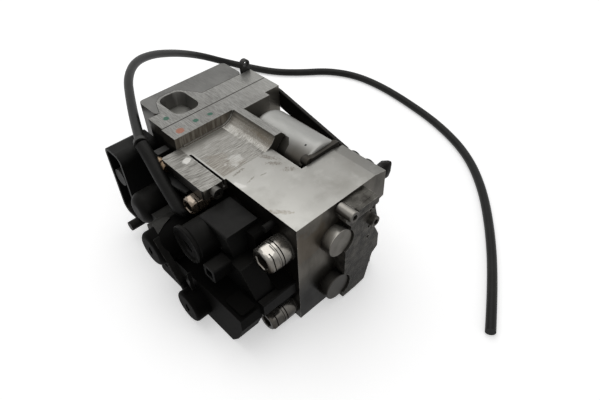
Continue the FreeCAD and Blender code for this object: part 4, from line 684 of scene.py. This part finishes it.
strap_inner = ((strap_high[0] - strap_thickness, strap_high[1]),
               (strap_high[0] - strap_thickness, slab_front),
               (strap_low[0] + strap_lean, strap_bend), (strap_low[0], strap_foot),
               (strap_low[0], strap_low[1]))
strap_black = plated("strap_black", (0.012, 0.011, 0.01), (0.005, 0.0045, 0.004), (0.02, 0.015, 0.01), 0.5)
strap_shape = bmesh.new()
bridge(strap_shape, [strap_section(x, y) for x, y in strap_inner])
strap = finish_piece("pressed_strap", strap_shape, strap_black)
round_edges(strap, 0.0005, 2)
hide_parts("side_strap")

screw_places = ((strap_high[0], strap_high[1] - strap_screw_inset),
                (strap_low[0] + strap_thickness, strap_low[1] + strap_screw_inset))
screw_shape = bmesh.new()
for x, y in screw_places:
    middle = (y, strap_top(y) - strap_height / 2)
    bridge(screw_shape, [[(x + along, side, up) for side, up in circle(middle, strap_screw_radius * share)]
                         for along, share in STRAP_SCREW])
screws = finish_piece("strap_screw_heads", screw_shape, strap_black)
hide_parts("strap_screws")
give(strap_black, "pump_plugs")


# Windings, bushes and contacts
# Copper wire wound in the valves and copper bars on the commutator, with bronze bushes for the
# shaft and brass contact pins in the connector.
copper = plated("copper_winding", (0.5, 0.22, 0.1), (0.3, 0.12, 0.05), (0.2, 0.1, 0.05), 0.4)
brass = plated("brass", (0.5, 0.37, 0.17), (0.2, 0.13, 0.06), (0.18, 0.11, 0.05), 0.35)
give(copper, "motor_commutator", "valve_coils")
give(brass, "shaft_bearings", "connector_pins")


# Bore plugs
# Two turned aluminium plugs screwed into the front face, with lathe rings on their flat heads.
# Their rims are painted bright on top and dark beneath, the lower one is painted in shade, and their corners
# take painted shade and grime.
def bore_plug_metal():
    rim_shade, rim_highlight = (0.035, 0.031, 0.026), (0.46, 0.44, 0.4)
    head_dark, head_light, shaded = (0.078, 0.072, 0.062), (0.13, 0.122, 0.108), (0.024, 0.022, 0.019)
    rubbed, grime_and_shade = (0.36, 0.35, 0.32), (0.014, 0.012, 0.01)
    finish, tree, shader = start_finish("bore_plug_metal", 0.4, 0.7, 0.2)
    face = axes(tree, "Normal")
    haze = grain(tree, 110, detail=6)
    # Painted highlight on the rims' tops and painted shade beneath.
    rim = tint(tree, spread(tree, face[2], 0.1, 0.95), rim_shade, rim_highlight)
    head = tint(tree, spread(tree, haze, 0.35, 0.65), head_dark, head_light)
    colour = tint(tree, spread(tree, face[1], -0.7, -0.95), rim, head)
    # Painted shade on the lower plug.
    low = spread(tree, axes(tree, "Object")[2], 0.045, 0.035, 0.0, 0.9)
    colour = tint(tree, low, colour, shaded)
    colour = tint(tree, both(tree, edges(tree, 0.0004), 0.5), colour, rubbed)
    # Painted shade and grime in corners.
    colour = tint(tree, both(tree, crevice(tree, 0.005), 0.8), colour, grime_and_shade)
    tree.links.new(colour, shader.inputs["Base Color"])
    relief(tree, shader, grain(tree, 1200, (1, 0.1, 1), detail=2), 0.000012)
    return finish


give(bore_plug_metal(), "bore_plugs")
ease("bore_plugs", 0.0004)

# Port plugs
# Three nickel-plated plugs close the line ports on the left: a round neck with two grooves, a
# hexagon turned round at its corners, a slot part way round, and a hexagon socket in the end.
block_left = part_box("valve_carrier")[1][0]
washer_depth = 0.0016
plug_steps = 96
slot_start, slot_end = math.radians(23), math.radians(200)
first_flat = math.radians(75)
PORT_PLUGS = (((-0.081, 0.071), 0.0106, 0.02), ((-0.0835, 0.0096), 0.0085, 0.024),
              ((-0.01, 0.078), 0.0079, 0.0275))
stained_from = -0.03


def flat_radius(radius, across, angle):
    """The reach of a hexagon with rounded corners in the direction of an angle."""
    turn = (angle - first_flat + math.pi / 6) % (math.pi / 3) - math.pi / 6
    return min(radius, across / math.cos(turn))


def plug_angle(step):
    """The direction of one point of a ring, from the top."""
    return 2 * math.pi * step / plug_steps


def in_slot(step):
    """Whether the slot is cut at this point of a ring."""
    return slot_start < plug_angle(step) < slot_end


def plug_rings(radius, reach):
    """The plug's rings from its neck to its socket's floor: place, size, kind, and whether dirt and painted
    shade lie after it.
    """
    groove = reach * 0.42
    slot = reach * 0.8
    corner = radius * 0.99
    slot_floor = corner - 0.0014
    rings = [(washer_depth, radius * 0.97, "round", False), (washer_depth + 0.0006, radius, "round", False)]
    for start, width, depth in ((groove, 0.0009, 0.001), (groove + 0.0026, 0.0005, 0.0006)):
        rings += [(start, radius, "round", True), (start, radius - depth, "round", True),
                  (start + width, radius - depth, "round", True), (start + width, radius, "round", False)]
    rings += [(groove + 0.0036, radius, "round", False), (groove + 0.0043, corner, "hexagon", False),
              (slot, corner, "hexagon", True), (slot, slot_floor, "slot", True),
              (slot + 0.0009, slot_floor, "slot", True), (slot + 0.0009, corner, "hexagon", False),
              (reach - 0.0016, corner, "hexagon", False), (reach - 0.0005, radius * 0.86, "round", False),
              (reach, radius * 0.78, "round", False), (reach, radius * 0.56, "socket", False),
              (reach - 0.0006, radius * 0.5, "socket", True), (reach - 0.006, radius * 0.48, "socket", True),
              (reach - 0.0062, radius * 0.2, "round", False), (reach - 0.0035, radius * 0.17, "round", False),
              (reach - 0.003, radius * 0.12, "round", False)]
    return rings


def plug_reach(radius, size, kind, step):
    """How far out one point of a ring lies."""
    if kind == "hexagon" or kind == "slot" and not in_slot(step):
        return flat_radius(radius * 0.99, radius * 0.9, plug_angle(step))
    if kind == "socket":
        return flat_radius(size * 1.1, size, plug_angle(step))
    return size


def add_port_plug(shape, centre, radius, reach):
    """One plug along -X from the block's side."""
    rings = plug_rings(radius, reach)
    loops = []
    for along, size, kind, _ in rings:
        loop = []
        for step in range(plug_steps):
            out = plug_reach(radius, size, kind, step)
            loop.append((block_left - along, centre[0] - out * math.sin(plug_angle(step)),
                         centre[1] + out * math.cos(plug_angle(step))))
        loops.append(loop)

    def dirt_and_shade(row, step):
        return rings[row][3] and (in_slot(step) or "slot" not in (rings[row][2], rings[row + 1][2]))

    bridge(shape, loops, dirt_and_shade=dirt_and_shade)


def stain_behind(finish, y, brown):
    """Stains a finish brown behind a distance along the block."""
    tree = finish.node_tree
    base = tree.nodes["Principled BSDF"].inputs["Base Color"]
    behind = both(tree, inside(tree, (None, y, None), (None, None, None)), 0.6)
    tree.links.new(tint(tree, behind, base.links[0].from_socket, brown), base)


# A near-black finish for the plugs' grooves, slot and socket and the boss's hollow: dirt with painted shade.
groove_dirt_and_shade, groove_tree, groove_shader = start_finish("groove_dirt_and_shade", 0.7, specular=0.1)
groove_tree.links.new(tint(groove_tree, grain(groove_tree, 900), (0.003, 0.0025, 0.002), (0.012, 0.009, 0.006)),
                    groove_shader.inputs["Base Color"])
nickel = plated("nickel_plate", (0.4, 0.38, 0.345), (0.014, 0.012, 0.0095), (0.12, 0.09, 0.062), 0.24, 0.75)
stain_behind(nickel, stained_from, (0.17, 0.115, 0.07))
plug_shape = bmesh.new()
for centre, radius, reach in PORT_PLUGS:
    add_port_plug(plug_shape, centre, radius, reach)
plugs = finish_piece("line_port_plugs", plug_shape, nickel, groove_dirt_and_shade)
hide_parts("port_plugs")


# Front casting
# A rough sand-cast clamp beside the plugs, pitted and dark, painted lighter on its tops and in
# shade on its fronts and low down, with painted shade and grime in its hollows. One screw holds
# it, and a small boss with a hollow middle stands on its face; the hollow takes dirt and painted shade.
def rough_casting():
    front_dark, front_light = (0.013, 0.0118, 0.0098), (0.078, 0.072, 0.062)
    top_dark, top_light = (0.035, 0.032, 0.027), (0.105, 0.1, 0.088)
    pit, shaded = (0.01, 0.009, 0.008), (0.011, 0.01, 0.0085)
    rubbed, grime_and_shade = (0.26, 0.25, 0.225), (0.01, 0.009, 0.007)
    finish, tree, shader = start_finish("rough_casting", 0.5, 0.45, 0.15)
    lumps = grain(tree, 170, detail=6)
    pits = grain(tree, 620, detail=4, shift=(3, 1, 7))
    front = tint(tree, spread(tree, lumps, 0.38, 0.66), front_dark, front_light)
    top = tint(tree, spread(tree, lumps, 0.35, 0.65), top_dark, top_light)
    # Painted light on the tops and painted shade on the fronts.
    colour = tint(tree, spread(tree, axes(tree, "Normal")[2], 0.2, 0.8), front, top)
    colour = tint(tree, spread(tree, pits, 0.4, 0.3, 0.0, 0.9), colour, pit)
    # Painted shade low down.
    low = spread(tree, axes(tree, "Object")[2], 0.055, 0.02, 0.0, 0.7)
    colour = tint(tree, low, colour, shaded)
    worn = both(tree, edges(tree, 0.0009), spread(tree, lumps, 0.4, 0.6))
    colour = tint(tree, worn, colour, rubbed)
    # Painted shade and grime in hollows.
    colour = tint(tree, both(tree, crevice(tree, 0.006), 0.85), colour, grime_and_shade)
    tree.links.new(colour, shader.inputs["Base Color"])
    height = add(tree, "Math", {0: lumps, 1: pits}, operation="ADD").outputs[0]
    relief(tree, shader, height, 0.00035)
    return finish


casting_metal = rough_casting()
give(casting_metal, "front_casting")
ease("front_casting", 0.0009, 3)
give(plated("screw_steel", (0.2, 0.19, 0.172), (0.03, 0.027, 0.023), (0.08, 0.06, 0.042), 0.32),
     "casting_screw")

boss_x, boss_z, boss_radius = 0.0192, 0.0692, 0.0038
BOSS_RINGS = ((-0.104, 1.15), (-0.1082, 1.1), (-0.1086, 1.0), (-0.1086, 0.58), (-0.106, 0.5))
boss_hollow = 3
boss_shape = bmesh.new()
boss_rings = [(y, boss_radius * share) for y, share in BOSS_RINGS]
# The hollow's walls take dirt and painted shade.
bridge(boss_shape, rings_along_y((boss_x, boss_z), boss_rings, 32),
       dirt_and_shade=lambda row, step: row >= boss_hollow)
finish_piece("casting_bosses", boss_shape, casting_metal, groove_dirt_and_shade)


# Valve mouldings, sensors and guard
# Glass-filled nylon mouldings that clip together on the left side: near black, dusty where they
# face up, and painted darker still, as shade, where they lie deep behind the front ones.
def moulded(name, dark, dusty, roughness, specular=0.2):
    """Moulded black plastic, dusty on top and rubbed a little paler along its edges."""
    finish, tree, shader = start_finish(name, roughness, specular=specular)
    dust = both(tree, spread(tree, axes(tree, "Normal")[2], 0.35, 0.95),
                spread(tree, grain(tree, 70, detail=6), 0.3, 0.65, 0.35, 1.0))
    colour = tint(tree, dust, dark, dusty)
    rubbed = both(tree, edges(tree, 0.0006), spread(tree, grain(tree, 240, detail=4), 0.4, 0.65, 0.0, 0.7))
    colour = tint(tree, rubbed, colour, tuple(3.2 * value for value in dusty))
    # Painted shade and grime in corners and gaps.
    colour = tint(tree, both(tree, crevice(tree, 0.008), 0.9), colour, (0.002, 0.002, 0.002))
    tree.links.new(colour, shader.inputs["Base Color"])
    relief(tree, shader, grain(tree, 800, detail=3), 0.00004)
    return finish


moulding_edge = 0.0006
FRONT_MOULDINGS = ("front_valve_housing", "front_guard", "sensor_plug", "locating_peg", "wiring_duct",
                   "domed_sensor")
DEEP_MOULDINGS = ("rear_valve_housing", "valve_carrier", "lower_shell", "lower_valve_housing")
black_plastic = moulded("black_plastic", (0.0028, 0.0027, 0.0025), (0.012, 0.0115, 0.0105), 0.48, 0.05)
shaded_plastic = moulded("shaded_plastic", (0.0025, 0.0024, 0.0022), (0.0035, 0.0033, 0.003), 0.55, 0.02)
give(black_plastic, *FRONT_MOULDINGS, "brush_plate", "motor_brushes")
give(shaded_plastic, *DEEP_MOULDINGS)
for name in FRONT_MOULDINGS + DEEP_MOULDINGS:
    ease(name, moulding_edge)

# Wiring box and connector shroud
# The larger mouldings of a slightly paler grade of the same plastic: the closed box over the
# wires, and the open shroud round the connector's pins.
housing_plastic = moulded("housing_plastic", (0.0045, 0.0045, 0.0042), (0.017, 0.0165, 0.0155), 0.48, 0.08)
give(housing_plastic, "wiring_box", "connector_shroud")
for name in ("wiring_box", "connector_shroud"):
    ease(name, moulding_edge)

# Elbow bracket, hose clip and rear eyelet
# Small brackets bent from steel and painted black, screwed on. The first two hold the hose's
# end at the left, and the eyelet stands at the rear right corner.
black_metal = moulded("black_metal", (0.006, 0.0055, 0.005), (0.022, 0.021, 0.019), 0.45, 0.3)
give(black_metal, "elbow_bracket", "hose_clip", "rear_eyelet")
for name in ("elbow_bracket", "rear_eyelet"):
    ease(name, moulding_edge)

# Hose elbow
# A moulded black elbow that takes the hose down the left side, past the valves, and into the
# block's side. It falls towards the front from the hose's end and turns in at its foot.
elbow_route = ((-0.0649, 0.052, 0.0975), (-0.0655, 0.044, 0.0935), (-0.069, 0.0225, 0.0815),
               (-0.0712, 0.003, 0.0708), (-0.0705, -0.0012, 0.068), (-0.066, -0.0018, 0.067),
               (-0.0566, -0.0018, 0.067))
elbow_radius = 0.0052
elbow_plastic = moulded("elbow_plastic", (0.004, 0.004, 0.0037), (0.016, 0.0155, 0.0145), 0.42, 0.1)
elbow = tube("hose_elbow", "hose_elbow_line", elbow_route, elbow_radius, 10, elbow_plastic)
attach(elbow, "housing")
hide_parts("feed_elbow")


# Valve web
# A moulded web, a sloping bar and two filling walls tie the valves together, with a small rib at
# the bar's foot. They are of the mouldings' black plastic, with pale dust on their flat tops.
def prism(shape, corners, depth):
    """A solid from a row of corners, carried along a depth vector."""
    bridge(shape, [corners, [tuple(a + b for a, b in zip(spot, depth)) for spot in corners]])


web_outline = ((-0.0923, 0.0073), (-0.0827, 0.0068), (-0.0794, 0.0034), (-0.0859, 0.0009),
               (-0.0902, -0.0016), (-0.0948, -0.0046))
web_top, web_depth = 0.0645, (0, 0, -0.0025)
bar_outline = ((-0.101, -0.0085, 0.0665), (-0.095, -0.0058, 0.0638), (-0.095, -0.0298, 0.0376),
               (-0.101, -0.033, 0.0395))
bar_depth = (0.0015, 0.003, -0.006)
WALLS_AND_RIB = (
    (-0.084, ((0.004, 0.056), (0.03, 0.056), (0.03, 0.03), (0.004, 0.03)), 0.027),
    (-0.093, ((0.002, 0.0621), (0.016, 0.058), (0.016, 0.038), (0.002, 0.038)), 0.02),
    (-0.0956, ((-0.0302, 0.04), (-0.036, 0.0485), (-0.0375, 0.0305)), 0.003),
)
web_plastic = moulded("web_plastic", (0.0035, 0.0034, 0.0032), (0.045, 0.044, 0.041), 0.5, 0.06)
web_shape = bmesh.new()
prism(web_shape, [(x, y, web_top) for x, y in web_outline], web_depth)
prism(web_shape, bar_outline, bar_depth)
for left, outline, width in WALLS_AND_RIB:
    prism(web_shape, [(left, y, z) for y, z in outline], (width, 0, 0))
finish_piece("valve_web", web_shape, web_plastic)

# Valve cap
# The raised round cap pressed on the front valve's end: a rim, a shallow dish, and a narrow slot
# through its middle, moulded in the same black plastic.
cap_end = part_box("front_valve_housing")[0][0]
cap_y, cap_z = -0.0298, 0.0673
CAP_RINGS = ((-0.002, 0.0125), (0.0, 0.0152), (0.0018, 0.0152), (0.0024, 0.0146), (0.0024, 0.0128),
             (0.0014, 0.0122))
cap_slot_y, cap_slot_z = cap_y - 0.0007, cap_z - 0.0008
slot_half_length, slot_half_width = 0.0054, 0.0016
cap_slot_turn = math.radians(36)


def cap_slot(x):
    """The slot's oval edge at a distance across the unit."""
    spots = []
    for along, across in circle((0, 0), 1):
        along, across = along * slot_half_length, across * slot_half_width
        y = along * math.cos(cap_slot_turn) - across * math.sin(cap_slot_turn)
        z = along * math.sin(cap_slot_turn) + across * math.cos(cap_slot_turn)
        spots.append((x, cap_slot_y + y, cap_slot_z + z))
    return spots


cap_loops = [[(cap_end - along, y, z) for y, z in circle((cap_y, cap_z), radius)]
             for along, radius in CAP_RINGS]
cap_shape = bmesh.new()
# The slot's walls take the shaded plastic: painted shade.
bridge(cap_shape, cap_loops + [cap_slot(cap_end - 0.0014), cap_slot(cap_end + 0.001)],
       dirt_and_shade=lambda row, step: row == len(CAP_RINGS))
finish_piece("valve_cap", cap_shape, black_plastic, shaded_plastic)

# Carrier lid
# A flat grey plastic plate laid on top of the valve carrier beside the elbow, cut to a slope at
# its front end.
lid_top, lid_thickness = 0.082, 0.0018
lid_outline = ((-0.0555, 0.0385), (-0.0555, 0.0005), (-0.064, -0.0005), (-0.0665, 0.012), (-0.066, 0.0385))
lid_plastic = moulded("lid_plastic", (0.012, 0.012, 0.011), (0.034, 0.034, 0.033), 0.5, 0.2)
lid_shape = bmesh.new()
prism(lid_shape, [(x, y, lid_top) for x, y in lid_outline], (0, 0, -lid_thickness))
finish_piece("carrier_lid", lid_shape, lid_plastic)

# Brass sleeve
# A short turned sleeve of tarnished brass at the rail's rear left corner, with two collars and
# a groove between them.
sleeve_x, sleeve_z = -0.0615, 0.0878
SLEEVE_RINGS = ((0.0255, 0.003), (0.026, 0.0038), (0.0295, 0.0038), (0.0298, 0.0032), (0.0315, 0.0032),
                (0.0318, 0.0042), (0.0355, 0.0042), (0.0362, 0.0034), (0.038, 0.0034))
old_brass = plated("old_brass", (0.26, 0.19, 0.125), (0.05, 0.033, 0.022), (0.1, 0.06, 0.035), 0.35, 0.7)
sleeve_shape = bmesh.new()
bridge(sleeve_shape, rings_along_y((sleeve_x, sleeve_z), SLEEVE_RINGS, 32))
finish_piece("brass_sleeve", sleeve_shape, old_brass)

# Corner lug
# A small black pressed lug at the block's front right corner, narrow where it leaves the flange
# and rounded over at its edges.
lug_low, lug_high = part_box("corner_bracket")
lug_middle = 0.008
lug_rise = 0.009
LUG_OUTLINE = ((0.0045, 0.0035), (0.004, 0.0088), (0.0005, 0.0142), (-0.0052, 0.0178), (-0.0082, 0.0185),
               (-0.0088, 0.0165), (-0.0085, 0.009), (-0.0072, 0.0035), (-0.0055, 0.0006), (-0.002, 0.0004))
LUG_SECTIONS = ((lug_low[0] - 0.0002, 0.62), (lug_low[0] + 0.004, 0.7), (lug_high[0] - 0.0035, 0.95),
                (lug_high[0], 1.0))
lug_shape = bmesh.new()
bridge(lug_shape, [[(x, lug_high[1] + y * share, lug_low[2] + lug_rise + (z - lug_middle) * share)
                    for y, z in LUG_OUTLINE] for x, share in LUG_SECTIONS])
lug = finish_piece("corner_lug", lug_shape, strap_black)
round_edges(lug, 0.0009, 3)
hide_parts("corner_bracket")

# Circuit board
# The green lacquered board that drives the valves and the motor, of resin filled with glass.
# It is screwed down inside the rear cover.
board_green = moulded("board_green", (0.02, 0.09, 0.04), (0.03, 0.12, 0.06), 0.3)
give(board_green, "circuit_board")

# Floor
# A plain white sheet under the unit that keeps its shadow. It shows white in mirrored rays too,
# so that the metal picks up the bright ground.
floor_reach = 6
floor_corners = [(-floor_reach, -floor_reach, 0), (floor_reach, -floor_reach, 0),
                 (floor_reach, floor_reach, 0), (-floor_reach, floor_reach, 0)]
floor_mesh = bpy.data.meshes.new("floor_sheet")
floor_mesh.from_pydata(floor_corners, [], [(0, 1, 2, 3)])
floor = bpy.data.objects.new("floor_sheet", floor_mesh)
bpy.context.scene.collection.objects.link(floor)
floor_finish, floor_tree, floor_shader = start_finish("white_floor", 0.9)


def seen_white(tree):
    """1 for the rays that show the background: straight, mirrored or through glass."""
    ray = add(tree, "LightPath")
    seen = add(tree, "Math", {0: ray.outputs["Is Camera Ray"], 1: ray.outputs["Is Glossy Ray"]},
               operation="MAXIMUM").outputs[0]
    return add(tree, "Math", {0: seen, 1: ray.outputs["Is Transmission Ray"]},
               operation="MAXIMUM").outputs[0]


floor_seen = seen_white(floor_tree)
floor_tree.links.new(tint(floor_tree, floor_seen, (0.3, 0.3, 0.3), (0.9, 0.9, 0.9)),
                     floor_shader.inputs["Base Color"])
floor_shader.inputs["Emission Color"].default_value = (1, 1, 1, 1)
floor_tree.links.new(spread(floor_tree, floor_seen, 0, 1, 0.0, 0.42),
                     floor_shader.inputs["Emission Strength"])
floor_mesh.materials.append(floor_finish)


# Light
# A large soft lamp above and behind, as on a table in a light tent, a weak one in front, and
# an even white sky.
lamp_target = (0, 0, 0.05)


def lamp(name, place, size, watts):
    """A square soft lamp, turned to the middle of the unit."""
    data = bpy.data.lights.new(name, "AREA")
    data.size = size
    data.energy = watts
    item = bpy.data.objects.new(name, data)
    item.location = place
    item.rotation_euler = (Vector(lamp_target) - Vector(place)).to_track_quat("-Z", "Y").to_euler()
    bpy.context.scene.collection.objects.link(item)


lamp("key_lamp", (0.2, 0.35, 1.15), 1.1, 5.5)
lamp("fill_lamp", (-0.5, -0.9, 0.7), 0.8, 1.2)
world = bpy.data.worlds.new("studio")
world.use_nodes = True
bpy.context.scene.world = world
sky = world.node_tree.nodes["Background"]
sky.inputs["Color"].default_value = (1, 1, 1, 1)
world.node_tree.links.new(spread(world.node_tree, seen_white(world.node_tree), 0, 1, 0.4, 1.0),
                          sky.inputs["Strength"])
bpy.context.scene.view_settings.view_transform = "Standard"
